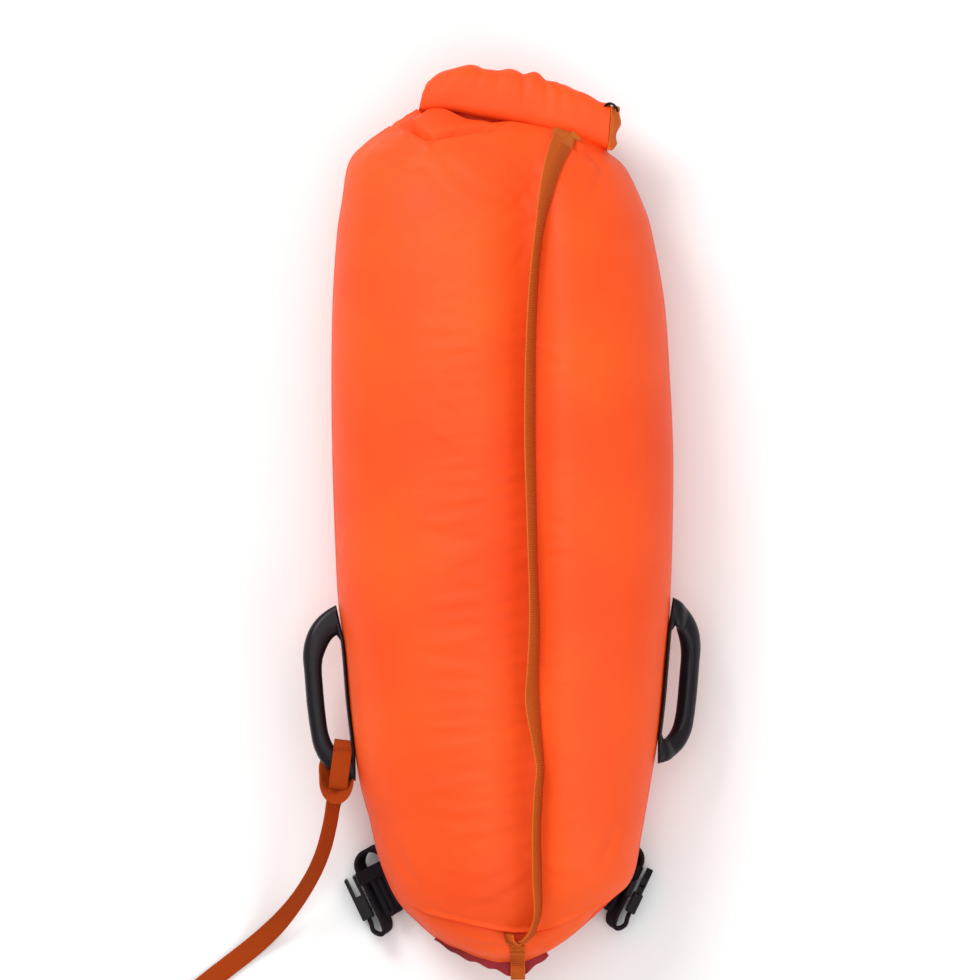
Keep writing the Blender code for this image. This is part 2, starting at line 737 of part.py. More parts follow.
def roll_point(along, across, up):
    """A point given along the roll, across it towards the top of the buoy, and up from its middle."""
    neck = (NECK_LEFT + NECK_RIGHT) / 2
    middle = Vector((neck.x, neck.y, ROLL_Z)) + ROLL_ALONG * ROLL_SHIFT + ROLL_ACROSS * (ROLL_TAIL + SLACK)
    return middle + ROLL_ALONG * along + ROLL_ACROSS * across + Vector((0, 0, up))


def roll_line():
    """The centre line of the rolled fabric across the roll: its tail, then the winding from outside in."""
    straight = ROLL_HALF_WIDTH - ROLL_HALF_HEIGHT
    line = [Vector((-ROLL_TAIL, -(ROLL_HALF_HEIGHT - ROLL_LAYER / 2)))]
    steps = int(ROLL_TURNS * ROLL_STEPS)
    for i in range(steps + 1):
        turn = i / ROLL_STEPS
        angle = -math.pi / 2 + 2 * math.pi * turn
        radius = ROLL_HALF_HEIGHT - ROLL_LAYER / 2 - ROLL_PITCH * turn
        shift = straight * math.tanh(3 * math.cos(angle))
        line.append(Vector((shift + radius * math.cos(angle), radius * math.sin(angle))))
    return line


def make_roll(root, fabric, inner):
    line = roll_line()
    least_gap("closure_roll", line, ROLL_LAYER, SLACK)
    outline = plan_strip(line, ROLL_LAYER)
    count = len(outline)
    tail_z = -(ROLL_HALF_HEIGHT - ROLL_LAYER / 2)
    points = []
    for along, width, height in ROLL_SECTION_SHARES:
        for p in outline:
            across = -ROLL_TAIL + (p.x + ROLL_TAIL) * width
            up = tail_z + (p.y - tail_z) * height
            points.append(roll_point(along * ROLL_HALF_LENGTH, across, up))
    faces = []
    for s in range(len(ROLL_SECTION_SHARES) - 1):
        for i in range(count):
            j = (i + 1) % count
            faces.append((s * count + i, s * count + j, (s + 1) * count + j, (s + 1) * count + i))
    last = (len(ROLL_SECTION_SHARES) - 1) * count
    for base in (0, last):
        for i in range(count // 2 - 1):
            faces.append((base + i, base + i + 1, base + count - 2 - i, base + count - 1 - i))
    add_object("closure_roll", mesh_of("closure_roll", points, faces), fabric, root)
    half_w, half_t = STIFFENER_WIDTH / 2, STIFFENER_THICKNESS / 2
    start = STIFFENER_START_SHARE * ROLL_HALF_LENGTH
    end = STIFFENER_END_SHARE * ROLL_HALF_LENGTH
    strip = block_mesh("closure_stiffener", (start, -half_w, -half_t), (end, half_w, half_t))
    inner_radius = ROLL_HALF_HEIGHT - ROLL_LAYER / 2 - ROLL_PITCH * math.floor(ROLL_TURNS)
    seat = -inner_radius + ROLL_LAYER / 2 + 2 * GAP + half_t
    frame = Matrix.Translation(roll_point(0, 0, seat)) @ Matrix.Rotation(-ROLL_TILT, 4, "Z")
    add_object("closure_stiffener", strip, inner, root, frame)


def socket_object(name, root, finish, frame):
    """A buckle's female half: its mouth at the origin, its webbing bar towards -X."""
    half_w, half_h = BUCKLE_WIDTH / 2, BUCKLE_HEIGHT / 2
    body = block_mesh(name, (-SOCKET_LENGTH, -half_w, -half_h), (0, half_w, half_h), BUCKLE_EDGE)
    cavity_w = half_w - SOCKET_WALL - SLACK
    cavity_h = half_h - SOCKET_WALL
    slot_back = -SOCKET_LENGTH + BAR_DEPTH
    slot_w = WEBBING_WIDTH / 2 + SLACK
    cutters = [
        block_mesh("cavity", (-SOCKET_CAVITY, -cavity_w, -cavity_h), (OVERRUN, cavity_w, cavity_h)),
        block_mesh(
            "window",
            (-SOCKET_WINDOW, -half_w - OVERRUN, -cavity_h + SLACK),
            (OVERRUN, half_w + OVERRUN, cavity_h - SLACK),
        ),
        block_mesh(
            "slot",
            (slot_back, -slot_w, -half_h - OVERRUN),
            (slot_back + SLOT_LENGTH, slot_w, half_h + OVERRUN),
        ),
    ]
    return add_object(name, combined(name, body, cutters, "DIFFERENCE"), finish, root, frame)


def plug_object(name, root, finish, frame):
    """A buckle's male half without its prongs: its shoulder at the origin, its tongue towards -X."""
    half_w, half_h = BUCKLE_WIDTH / 2, PLUG_BASE_HEIGHT / 2
    base = block_mesh(name, (GAP, -half_w, -half_h), (PLUG_BASE_LENGTH, half_w, half_h), BUCKLE_EDGE)
    tongue = block_mesh(
        "tongue",
        (-TONGUE_LENGTH, -TONGUE_WIDTH / 2, -TONGUE_HEIGHT / 2),
        (OVERRUN, TONGUE_WIDTH / 2, TONGUE_HEIGHT / 2),
        BUCKLE_EDGE,
    )
    body = combined(name, base, [tongue], "UNION")
    slot_back = PLUG_BASE_LENGTH - BAR_DEPTH
    slot_w = WEBBING_WIDTH / 2 + SLACK
    slot = block_mesh(
        "slot",
        (slot_back - SLOT_LENGTH, -slot_w, -half_h - OVERRUN),
        (slot_back, slot_w, half_h + OVERRUN),
    )
    return add_object(name, combined(name, body, [slot], "DIFFERENCE"), finish, root, frame)


def prong_object(name, root, finish, frame, side):
    """One sprung prong of a plug: it lies beside the tongue, towards -X, and pivots at its root."""
    half_w = BUCKLE_WIDTH / 2
    pivot = Vector((0, side * PRONG_PIVOT_SHARE * half_w, 0))
    outline = [
        Vector((-a * PRONG_LENGTH, side * b * half_w, 0)) - pivot for a, b in PRONG_SHARES
    ]
    count = len(outline)
    points = [p + Vector((0, 0, z)) for z in (-PRONG_HEIGHT / 2, PRONG_HEIGHT / 2) for p in outline]
    faces = [(i, (i + 1) % count, count + (i + 1) % count, count + i) for i in range(count)]
    faces += [tuple(reversed(range(count))), tuple(range(count, 2 * count))]
    mesh = mesh_of(name, points, faces)
    return add_object(name, mesh, finish, root, frame @ Matrix.Translation(pivot))


def make_closure(root, webbing, plastic):
    """The tabs at the roll's ends and the buckle that joins them under the roll."""
    frame = (
        Matrix.Translation(roll_point(CLOSURE_MOUTH, CLOSURE_SIDE, -CLOSURE_DROP))
        @ Matrix.Rotation(-ROLL_TILT, 4, "Z")
    )
    socket_object("closure_socket", root, plastic, frame)
    plug_object("closure_plug", root, plastic, frame)
    for name, side in (("closure_prong_upper", 1), ("closure_prong_lower", -1)):
        prong_object(name, root, plastic, frame, side)
    end = ROLL_HALF_LENGTH
    start = GAP + SLACK
    plug_bar = CLOSURE_MOUTH + PLUG_BASE_LENGTH
    low = -CLOSURE_DROP
    right = (
        (end + start, 0, 0.0),
        (end + 0.5 * TAB_TURN, 0, -0.05 * CLOSURE_DROP),
        (end + 0.9 * TAB_TURN, 0, -0.20 * CLOSURE_DROP),
        (end + TAB_TURN, 0, -0.45 * CLOSURE_DROP),
        (end + 0.9 * TAB_TURN, 0, -0.72 * CLOSURE_DROP),
        (end + 0.5 * TAB_TURN, 0.5 * CLOSURE_SIDE, -0.93 * CLOSURE_DROP),
        (end, 0.9 * CLOSURE_SIDE, low),
        (plug_bar + start, CLOSURE_SIDE, low),
    )
    socket_bar = CLOSURE_MOUTH - SOCKET_LENGTH
    under = low - BUCKLE_HEIGHT / 2 - WEBBING_THICKNESS
    drop = 0.3 * ROLL_HALF_HEIGHT
    back = -ROLL_TAIL * (1 - ROLL_SECTION_SHARES[0][1]) + GAP
    left = (
        (-end - start, back, -drop),
        (-end - 0.5 * LEFT_TAB_TURN, back, -drop - 0.05 * CLOSURE_DROP),
        (-end - 0.9 * LEFT_TAB_TURN, 0.9 * back, -drop - 0.25 * CLOSURE_DROP),
        (-end - LEFT_TAB_TURN, 0.75 * back, -drop - 0.50 * CLOSURE_DROP),
        (-end - 0.8 * LEFT_TAB_TURN, 0.5 * back, under + 0.20 * CLOSURE_DROP),
        (-end + 0.5 * LEFT_TAB_TURN, 0.25 * back, under),
        (-0.6 * end, CLOSURE_SIDE, under),
        (socket_bar - 6 * SLOT_LENGTH, CLOSURE_SIDE, low - 0.1 * BUCKLE_HEIGHT),
        (socket_bar - 2 * SLOT_LENGTH - start, CLOSURE_SIDE, low),
    )
    for name, route, width in (
        ("closure_tab_right", right, TAB_WIDTH),
        ("closure_tab_left", left, TAB_END_WIDTH),
    ):
        line = [roll_point(*p) for p in smooth_route(route, STRAP_STEPS)]
        last = len(line) - 1
        wide = [width + (TAB_END_WIDTH - width) * eased(i / last) for i in range(last + 1)]
        mesh = tab_mesh(name, line, wide)
        add_object(name, mesh, webbing, root)
    slot = socket_bar + BAR_DEPTH
    chape = [
        roll_point(a, CLOSURE_SIDE, low)
        for a in (socket_bar - 2 * SLOT_LENGTH, socket_bar - SLOT_LENGTH, socket_bar - start)
    ]
    mesh = tab_mesh("closure_tab_chape", chape, [TAB_END_WIDTH] * len(chape))
    add_object("closure_tab_chape", mesh, webbing, root)
    return slot


def tab_mesh(name, line, widths):
    """A strap whose width lies across the roll all along its line."""
    points = []
    for i, centre in enumerate(line):
        along = (line[min(i + 1, len(line) - 1)] - line[max(i - 1, 0)]).normalized()
        thick = along.cross(ROLL_ACROSS).normalized() * WEBBING_THICKNESS / 2
        for a, b in ((-1, -1), (1, -1), (1, 1), (-1, 1)):
            points.append(centre + ROLL_ACROSS * widths[i] / 2 * a + thick * b)
    faces = []
    for i in range(len(line) - 1):
        for k in range(4):
            faces.append((4 * i + k, 4 * i + (k + 1) % 4, 4 * i + 4 + (k + 1) % 4, 4 * i + 4 + k))
    faces += [(0, 1, 2, 3), tuple(4 * (len(line) - 1) + k for k in (3, 2, 1, 0))]
    return mesh_of(name, points, faces)


def valve_frame(side):
    """The frame of a valve: its origin on the back panel, +Z outwards."""
    x = side * VALVE_X_SHARE * BAG_HALF_WIDTH
    place, u = place_at(x, BAG_BOTTOM_Y + VALVE_Y_SHARE * BAG_LENGTH)
    point = bag_point(place, u, False)
    normal = bag_normal(place, u, False)
    return Matrix.Translation(point) @ normal.to_track_quat("Z", "Y").to_matrix().to_4x4()


def make_valve(root, side_name, frame, plastic, rubber):
    base_low = GAP + SLACK
    flange_top = base_low + VALVE_FLANGE_THICKNESS
    base = turned(
        f"{side_name}_valve_base",
        (
            (VALVE_BORE_RADIUS, -VALVE_THROAT_DEPTH, False),
            (VALVE_THROAT_RADIUS, -VALVE_THROAT_DEPTH, False),
            (VALVE_THROAT_RADIUS, base_low, False),
            (VALVE_FLANGE_RADIUS, base_low, False),
            (VALVE_FLANGE_RADIUS, flange_top, False),
            (VALVE_NECK_RADIUS, flange_top, False),
            (VALVE_NECK_RADIUS, VALVE_NECK_HEIGHT, False),
            (VALVE_BORE_RADIUS, VALVE_NECK_HEIGHT, False),
        ),
    )
    add_object(f"{side_name}_valve_base", base, plastic, root, frame)
    low = flange_top + GAP
    high = low + COLLAR_HEIGHT
    under = high - COLLAR_TOP
    hole = STEM_CAP_RADIUS + SLACK
    collar = turned(
        f"{side_name}_valve_collar",
        (
            (VALVE_NECK_RADIUS + SLACK, low, False),
            (COLLAR_RADIUS, low, True),
            (COLLAR_RADIUS, high - COLLAR_RIB, True),
            (COLLAR_RADIUS - 2 * COLLAR_RIB, high, False),
            (hole, high, False),
            (hole, under, False),
            (VALVE_NECK_RADIUS + SLACK, under, False),
        ),
        sides=2 * COLLAR_RIBS,
        ribs=COLLAR_RIBS,
        rib=COLLAR_RIB,
    )
    add_object(f"{side_name}_valve_collar", collar, plastic, root, frame)
    seal_top = -VALVE_THROAT_DEPTH - GAP
    stem = solid_turned(
        f"{side_name}_valve_stem",
        (
            (0, seal_top - STEM_SEAL_HEIGHT),
            (STEM_SEAL_RADIUS, seal_top - STEM_SEAL_HEIGHT),
            (STEM_SEAL_RADIUS, seal_top),
            (STEM_RADIUS, seal_top),
            (STEM_RADIUS, high - STEM_CAP_HEIGHT),
            (STEM_CAP_RADIUS, high - STEM_CAP_HEIGHT),
            (STEM_CAP_RADIUS, high - GAP),
            (0, high - GAP),
        ),
        sides=24,
    )
    add_object(f"{side_name}_valve_stem", stem, rubber, root, frame)


def superellipse(k):
    """A point on a rounded square from -1 to 1, k of HANDLE_SIDES round."""
    angle = 2 * math.pi * (k + 0.5) / HANDLE_SIDES
    c, s = math.cos(angle), math.sin(angle)
    return math.copysign(abs(c) ** HANDLE_ROUNDNESS, c), math.copysign(abs(s) ** HANDLE_ROUNDNESS, s)


def make_handle(root, name, side, top_share, length, reach_out, droop, finish):
    """A moulded ring: the grip outside, and the base strip along the bag's edge."""
    top_y = BAG_BOTTOM_Y + top_share * BAG_LENGTH

    def spot(out, along):
        y = top_y - along * length
        return Vector((edge_point(y, side).x + side * (GAP + out), y))

    pairs = []
    for outer_out, outer_along, inner_out, inner_along, thickness in GRIP_SHARES:
        outer = spot(outer_out * reach_out, outer_along)
        inner = spot(inner_out * reach_out, inner_along)
        pairs.append((outer, inner, HANDLE_HALF_HEIGHT * thickness))
    for along in BASE_PLACE_SHARES:
        pairs.append((spot(0, along), spot(HANDLE_BASE, along), HANDLE_BASE_HALF_HEIGHT))
    points = []
    for first, second, half_height in pairs:
        middle = (first + second) / 2
        reach = (first - second) / 2
        root_x = edge_point(middle.y, side).x + side * (GAP + HANDLE_BASE)
        angle = droop * eased(side * (middle.x - root_x) / DROOP_START)
        for k in range(HANDLE_SIDES):
            c, s = superellipse(k)
            flat = middle + reach * c
            height = half_height * s
            out = side * (flat.x - root_x)
            bent = out * math.cos(angle) + height * math.sin(angle)
            z = SEAM_Z - out * math.sin(angle) + height * math.cos(angle)
            points.append(Vector((root_x + side * bent, flat.y, z)))
    faces = []
    count = len(pairs)
    for i in range(count):
        j = (i + 1) % count
        for k in range(HANDLE_SIDES):
            m = (k + 1) % HANDLE_SIDES
            faces.append(
                (i * HANDLE_SIDES + k, i * HANDLE_SIDES + m, j * HANDLE_SIDES + m, j * HANDLE_SIDES + k)
            )
    return add_object(name, mesh_of(name, points, faces, smooth=True), finish, root)


def rest_height(surface, x, y, side_way, tilt):
    """How high a strap's middle lies when its width, turned by tilt, rests on the front panel."""
    heights = []
    for k in range(-4, 5):
        for m in (-1, 1):
            reach, thick = WEBBING_WIDTH / 2 * k / 4, m * WEBBING_THICKNESS / 2
            out = reach * math.cos(tilt) - thick * math.sin(tilt)
            up = reach * math.sin(tilt) + thick * math.cos(tilt)
            spot = Vector((x, y)) + side_way * out
            top = surface.top(spot.x, spot.y)
            if top is not None:
                heights.append(top - up)
    return max(heights) + SLACK


def sunk(surface, centres, tilts):
    """How far each section of the strap would sink into the front panel, with a little clearance."""
    frames = strap_frames(centres, tilts)
    found = []
    for centre, (wide, thick) in zip(centres, frames):
        depth = 0.0
        for k in range(-4, 5):
            for m in (-1, 1):
                spot = centre + wide * WEBBING_WIDTH / 2 * k / 4 + thick * WEBBING_THICKNESS / 2 * m
                top = surface.top(spot.x, spot.y)
                if top is not None:
                    depth = max(depth, top + 2 * SLACK - spot.z)
        found.append(depth)
    return found


def front_strap_line(surface):
    route = [
        (x * BAG_HALF_WIDTH, BAG_BOTTOM_Y + y * BAG_LENGTH, math.radians(tilt))
        for x, y, tilt in STRAP_ROUTE_SHARES
    ]
    flat = smooth_route(route, STRAP_STEPS)
    centres, tilts = [], []
    for i, (x, y, tilt) in enumerate(flat):
        before, after = flat[max(i - 1, 0)], flat[min(i + 1, len(flat) - 1)]
        along = Vector((after[0] - before[0], after[1] - before[1])).normalized()
        side_way = Vector((along.y, -along.x))
        z = rest_height(surface, x, y, side_way, tilt)
        centres.append(Vector((x, y, z)))
        tilts.append(tilt)
    last = len(centres) - 1
    for _ in range(6):
        for i, depth in enumerate(sunk(surface, centres, tilts)):
            centres[i].z += depth
        lifted = [
            max(centres[i].z, (centres[max(i - 1, 0)].z + centres[min(i + 1, last)].z) / 2)
            for i in range(last + 1)
        ]
        for centre, z in zip(centres, lifted):
            centre.z = z
    return centres, tilts


def make_front_strap(root, surface, webbing):
    centres, tilts = front_strap_line(surface)
    mesh = ribbon("front_strap", centres, tilts, WEBBING_WIDTH, WEBBING_THICKNESS)
    add_object("front_strap", mesh, webbing, root)


def make_bottom_loop(root, surface, webbing):
    """The webbing over the bottom edge: up the front, round the hem, and back under."""
    off = WEBBING_THICKNESS / 2 + 2 * SLACK
    step = SLACK
    edge_y = bottom_edge(LOOP_X + LOOP_WIDTH / 2).y + SLACK + step
    front_y = BAG_BOTTOM_Y + LOOP_FRONT_SHARE * BAG_LENGTH
    back_y = BAG_BOTTOM_Y + LOOP_BACK_SHARE * BAG_LENGTH

    def beside(height_of, y, way):
        """A point of the panel's section at LOOP_X, moved out by half the webbing and a little more."""
        spots = [LOOP_X + k * LOOP_WIDTH / 4 for k in (-2, -1, 0, 1, 2)]
        pick = max if way > 0 else min
        z = pick(height_of(x, y) for x in spots)
        slope = (height_of(LOOP_X, y + step) - height_of(LOOP_X, y - step)) / (2 * step)
        out = Vector((-slope * way, 1.0)).normalized() * off
        return (y + out.x, z + way * out.y)

    places = [k / 4 for k in range(5)]
    front = [
        beside(surface.top, front_y + (edge_y - front_y) * k, 1) for k in places
    ]
    back = [
        beside(surface.under, back_y + (edge_y - back_y) * k, -1) for k in reversed(places)
    ]
    tip = BAG_BOTTOM_Y - LOOP_REACH + WEBBING_THICKNESS / 2
    reach = HEM_THICKNESS / 2 + 2 * off
    route = front + [
        ((BAG_BOTTOM_Y + tip) / 2, SEAM_Z + reach),
        (tip, SEAM_Z),
        ((BAG_BOTTOM_Y + tip) / 2, SEAM_Z - reach),
    ] + back
    line = smooth_route(route, 2)
    points = []
    for i, (y, z) in enumerate(line):
        before, after = line[max(i - 1, 0)], line[min(i + 1, len(line) - 1)]
        along = Vector((0, after[0] - before[0], after[1] - before[1])).normalized()
        thick = Vector((0, -along.z, along.y)) * WEBBING_THICKNESS / 2
        for a, b in ((-1, -1), (1, -1), (1, 1), (-1, 1)):
            points.append(Vector((LOOP_X + LOOP_WIDTH / 2 * a, y, z)) + thick * b)
    faces = []
    for i in range(len(line) - 1):
        for k in range(4):
            faces.append((4 * i + k, 4 * i + (k + 1) % 4, 4 * i + 4 + (k + 1) % 4, 4 * i + 4 + k))
    faces += [(0, 1, 2, 3), tuple(4 * (len(line) - 1) + k for k in (3, 2, 1, 0))]
    add_object("bottom_loop", mesh_of("bottom_loop", points, faces), webbing, root)


def bottom_edge(x):
    """The point of the bag's bottom edge at a place across."""
    left, right = station(0)[:2]
    if left.x <= x <= right.x:
        return Vector((x, left.y))
    side = 0 if x < left.x else 1
    low, high = 0.0, LAST_STATION / 3
    for _ in range(40):
        middle = (low + high) / 2
        if abs(station(middle)[side].x) < abs(x):
            low = middle
        else:
            high = middle
    return station(low)[side]


def make_hem(root, finish):
    """The crescent of doubled fabric outside the bottom edge, in the plane of the seam."""
    spots = smooth_route(HEM_SHARES, HEM_STEPS)
    line = [bottom_edge(x * BAG_HALF_WIDTH) for x, _ in spots]
    inner, outer = [], []
    for i, (_, width) in enumerate(spots):
        along = (line[min(i + 1, len(line) - 1)] - line[max(i - 1, 0)]).normalized()
        out = Vector((along.y, -along.x))
        start = line[i] + out * (GAP + SLACK)
        inner.append(start)
        outer.append(start + out * HEM_WIDTH * width)
    count = len(inner)
    points = [
        Vector((p.x, p.y, SEAM_Z + z))
        for z in (-HEM_THICKNESS / 2, HEM_THICKNESS / 2)
        for p in inner + outer[::-1]
    ]
    ring = 2 * count
    faces = [(i, (i + 1) % ring, ring + (i + 1) % ring, ring + i) for i in range(ring)]
    for base in (0, ring):
        for i in range(count - 1):
            faces.append((base + i, base + i + 1, base + ring - 2 - i, base + ring - 1 - i))
    add_object("bottom_hem", mesh_of("bottom_hem", points, faces), finish, root)


class Bundle:
    """The plan frame of a belt bundle: along its folds from the top down, and out from the bag."""

    def __init__(self, start, side):
        self.start = Vector(start)
        self.side = side
        self.along = Vector((-side * math.sin(BELT_SLANT), -math.cos(BELT_SLANT)))
        self.out = Vector((side * math.cos(BELT_SLANT), -math.sin(BELT_SLANT)))

    def spot(self, along, out):
        return self.start + self.along * along + self.out * out


def arc(bundle, along, out, radius, first, last):
    """Points of an arc in a bundle's frame, from one angle to another in quarter turns."""
    found = []
    for i in range(ARC_STEPS + 1):
        angle = math.pi / 2 * (first + (last - first) * i / ARC_STEPS)
        found.append(bundle.spot(along + radius * math.cos(angle), out + radius * math.sin(angle)))
    return found


def make_belt(root, name, start, side, webbing):
    """One end of the waist belt, folded up: its strap, the spare length inside, keeper and anchor."""
    bundle = Bundle(start, side)
    z_low, z_high = BELT_LOW_Z, BELT_LOW_Z + WEBBING_WIDTH
    far = 2 * BELT_TOP_LOOP
    line = [bundle.spot(BELT_RUN, 0), bundle.spot(BELT_RUN / 2, 0)]
    line += arc(bundle, 0, BELT_TOP_LOOP, BELT_TOP_LOOP, -1, -3)
    line += [bundle.spot(BELT_RUN / 2, far)]
    line += [
        bundle.spot(*p)
        for p in smooth_route(
            (
                (BELT_RUN * 0.86, far),
                (BELT_RUN * 0.96, far),
                (BELT_RUN + 0.45 * BELT_END_LOOP, far + 0.06 * BELT_END_LOOP),
                (BELT_RUN + 0.95 * BELT_END_LOOP, far + 0.38 * BELT_END_LOOP),
                (BELT_RUN + 0.98 * BELT_END_LOOP, far + 0.92 * BELT_END_LOOP),
                (BELT_RUN + 0.45 * BELT_END_LOOP, BELT_BUCKLE_OUT + 0.10 * BELT_END_LOOP),
                (BELT_RUN * 0.97, BELT_BUCKLE_OUT + 0.02 * BELT_END_LOOP),
                (BELT_RUN * BELT_BUCKLE_SHARE + GAP + SLACK, BELT_BUCKLE_OUT),
            ),
            STRAP_STEPS,
        )
    ]
    add_object(f"{name}_belt", strip_solid(f"{name}_belt", line, BELT_THICKNESS, z_low, z_high), webbing, root)
    least_gap(f"{name}_belt", line, BELT_THICKNESS, SLACK)
    spare = [bundle.spot(BELT_SPARE_BOTTOM, BELT_SPARE_STEP)]
    for i in range(BELT_SPARE_RUNS - 1):
        out = BELT_SPARE_STEP * (i + 1)
        half = BELT_SPARE_STEP / 2
        at_top = i % 2 == 0
        place = BELT_SPARE_TOP if at_top else BELT_SPARE_BOTTOM
        turn = (-1, -3) if at_top else (-1, 1)
        spare += arc(bundle, place, out + half, half, *turn)
    ends_low = BELT_SPARE_RUNS % 2 == 0
    spare.append(
        bundle.spot(BELT_SPARE_TOP if not ends_low else BELT_SPARE_BOTTOM, BELT_SPARE_STEP * BELT_SPARE_RUNS)
    )
    least_gap(f"{name}_belt_spare", spare, BELT_THICKNESS, SLACK)
    mesh = strip_solid(f"{name}_belt_spare", spare, BELT_THICKNESS, z_low, z_high)
    add_object(f"{name}_belt_spare", mesh, webbing, root)
    return bundle


def make_keeper(root, name, bundle, finish):
    """An elastic band round the runs of a bundle."""
    inside = BELT_THICKNESS / 2 + GAP
    low_out, high_out = -inside, 2 * BELT_TOP_LOOP + inside
    low_z, high_z = BELT_LOW_Z - GAP, BELT_LOW_Z + WEBBING_WIDTH + GAP
    ring = []
    for grow in (0, KEEPER_THICKNESS):
        ring.append(
            (
                (low_out - grow, low_z - grow),
                (high_out + grow, low_z - grow),
                (high_out + grow, high_z + grow),
                (low_out - grow, high_z + grow),
            )
        )
    points = []
    for along in (KEEPER_START, KEEPER_START + KEEPER_WIDTH):
        for corners in ring:
            for out, z in corners:
                spot = bundle.spot(along, out)
                points.append(Vector((spot.x, spot.y, z)))
    faces = []
    for k in range(4):
        m = (k + 1) % 4
        faces.append((k, m, 8 + m, 8 + k))
        faces.append((4 + k, 4 + m, 12 + m, 12 + k))
        faces.append((k, m, 4 + m, 4 + k))
        faces.append((8 + k, 8 + m, 12 + m, 12 + k))
    add_object(f"{name}_belt_keeper", mesh_of(f"{name}_belt_keeper", points, faces), finish, root)


def make_anchor(root, surface, name, bundle, finish):
    """The webbing that hangs from the back panel, near its edge, down to the bundle's first run."""
    steps = 6
    line = []
    for i in range(steps + 1):
        share = ANCHOR_START_SHARE + (ANCHOR_END_SHARE - ANCHOR_START_SHARE) * i / steps
        line.append(bundle.spot(BELT_RUN * share, 0))
    outline = plan_strip(line, BELT_THICKNESS)
    count = len(outline)
    tops = []
    for i, p in enumerate(outline):
        pair = outline[count - 1 - i]
        spots = [p.lerp(pair, k / 4) for k in range(5)]
        heights = [surface.under(spot.x, spot.y) for spot in spots]
        tops.append(min([SEAM_Z] + [height for height in heights if height is not None]) - GAP)
    points = [Vector((p.x, p.y, BELT_LOW_Z + WEBBING_WIDTH + GAP)) for p in outline]
    points += [Vector((p.x, p.y, z)) for p, z in zip(outline, tops)]
    faces = [(i, (i + 1) % count, count + (i + 1) % count, count + i) for i in range(count)]
    for base in (0, count):
        for i in range(steps):
            faces.append((base + i, base + i + 1, base + count - 2 - i, base + count - 1 - i))
    add_object(f"{name}_belt_anchor", mesh_of(f"{name}_belt_anchor", points, faces), finish, root)


def buckle_frame(bundle, mouth_along, facing):
    """A buckle on edge in a bundle: its length along the folds, its width upright."""
    spot = bundle.spot(mouth_along, BELT_BUCKLE_OUT)
    along = Vector((bundle.along.x, bundle.along.y, 0)) * facing
    wide = Vector((0, 0, 1))
    thick = along.cross(wide)
    turn = Matrix((along, wide, thick)).transposed().to_4x4()
    return Matrix.Translation(Vector((spot.x, spot.y, BUCKLE_WIDTH / 2 + GAP))) @ turn


def make_adjuster(root, bundle, finish):
    """The sliding bar adjuster on the belt's outer run, on edge like the webbing."""
    out = 2 * BELT_TOP_LOOP + BELT_THICKNESS / 2 + GAP
    frame_spot = bundle.spot(KEEPER_START + KEEPER_WIDTH + ADJUSTER_PLACE, out + ADJUSTER_HEIGHT / 2)
    along = Vector((bundle.along.x, bundle.along.y, 0))
    wide = Vector((0, 0, 1))
    turn = Matrix((along, wide, along.cross(wide))).transposed().to_4x4()
    frame = Matrix.Translation(Vector((frame_spot.x, frame_spot.y, BUCKLE_WIDTH / 2 + GAP))) @ turn
    half_w, half_h = BUCKLE_WIDTH / 2, ADJUSTER_HEIGHT / 2
    name = "belt_adjuster"
    body = block_mesh(name, (0, -half_w, -half_h), (ADJUSTER_LENGTH, half_w, half_h), BUCKLE_EDGE)
    slot_w = WEBBING_WIDTH / 2 + SLACK
    rail = (ADJUSTER_LENGTH - 2 * SLOT_LENGTH) / 3
    slots = [
        block_mesh(
            f"slot_{i}",
            (rail + i * (SLOT_LENGTH + rail), -slot_w, -half_h - OVERRUN),
            (rail + i * (SLOT_LENGTH + rail) + SLOT_LENGTH, slot_w, half_h + OVERRUN),
        )
        for i in (0, 1)
    ]
    add_object(name, combined(name, body, slots, "DIFFERENCE"), finish, root, frame)


def hitch_place():
    """Where the hitch goes round the left handle's lower arm: its middle and half its length along the buoy."""
    top_y = BAG_BOTTOM_Y + LEFT_HANDLE_TOP_SHARE * BAG_LENGTH
    y = top_y - HITCH_ALONG_SHARE * LEFT_HANDLE_LENGTH
    x = edge_point(y, -1).x - GAP - HITCH_OUT_SHARE * HANDLE_REACH
    return Vector((x, y, SEAM_Z)), HITCH_HALF_LENGTH_SHARE * LEFT_HANDLE_LENGTH


def arm_height(handle):
    """How high the left handle's lower arm stands above the seam where the hitch goes round it."""
    middle, half_length = hitch_place()
    points = [v.co.copy() for v in handle.data.vertices]
    tree = BVHTree.FromPolygons(points, [tuple(p.vertices) for p in handle.data.polygons])
    high = 0.0
    for i in range(HITCH_SAMPLES + 1):
        for k in range(HITCH_SAMPLES + 1):
            x = middle.x + HITCH_WIDTH * (i / HITCH_SAMPLES - 1 / 2)
            y = middle.y + half_length * (2 * k / HITCH_SAMPLES - 1)
            found = tree.ray_cast(Vector((x, y, 2 * SEAM_Z)), Vector((0, 0, -1)), SEAM_Z)[0]
            high = high if found is None else max(high, found.z - SEAM_Z)
    return high


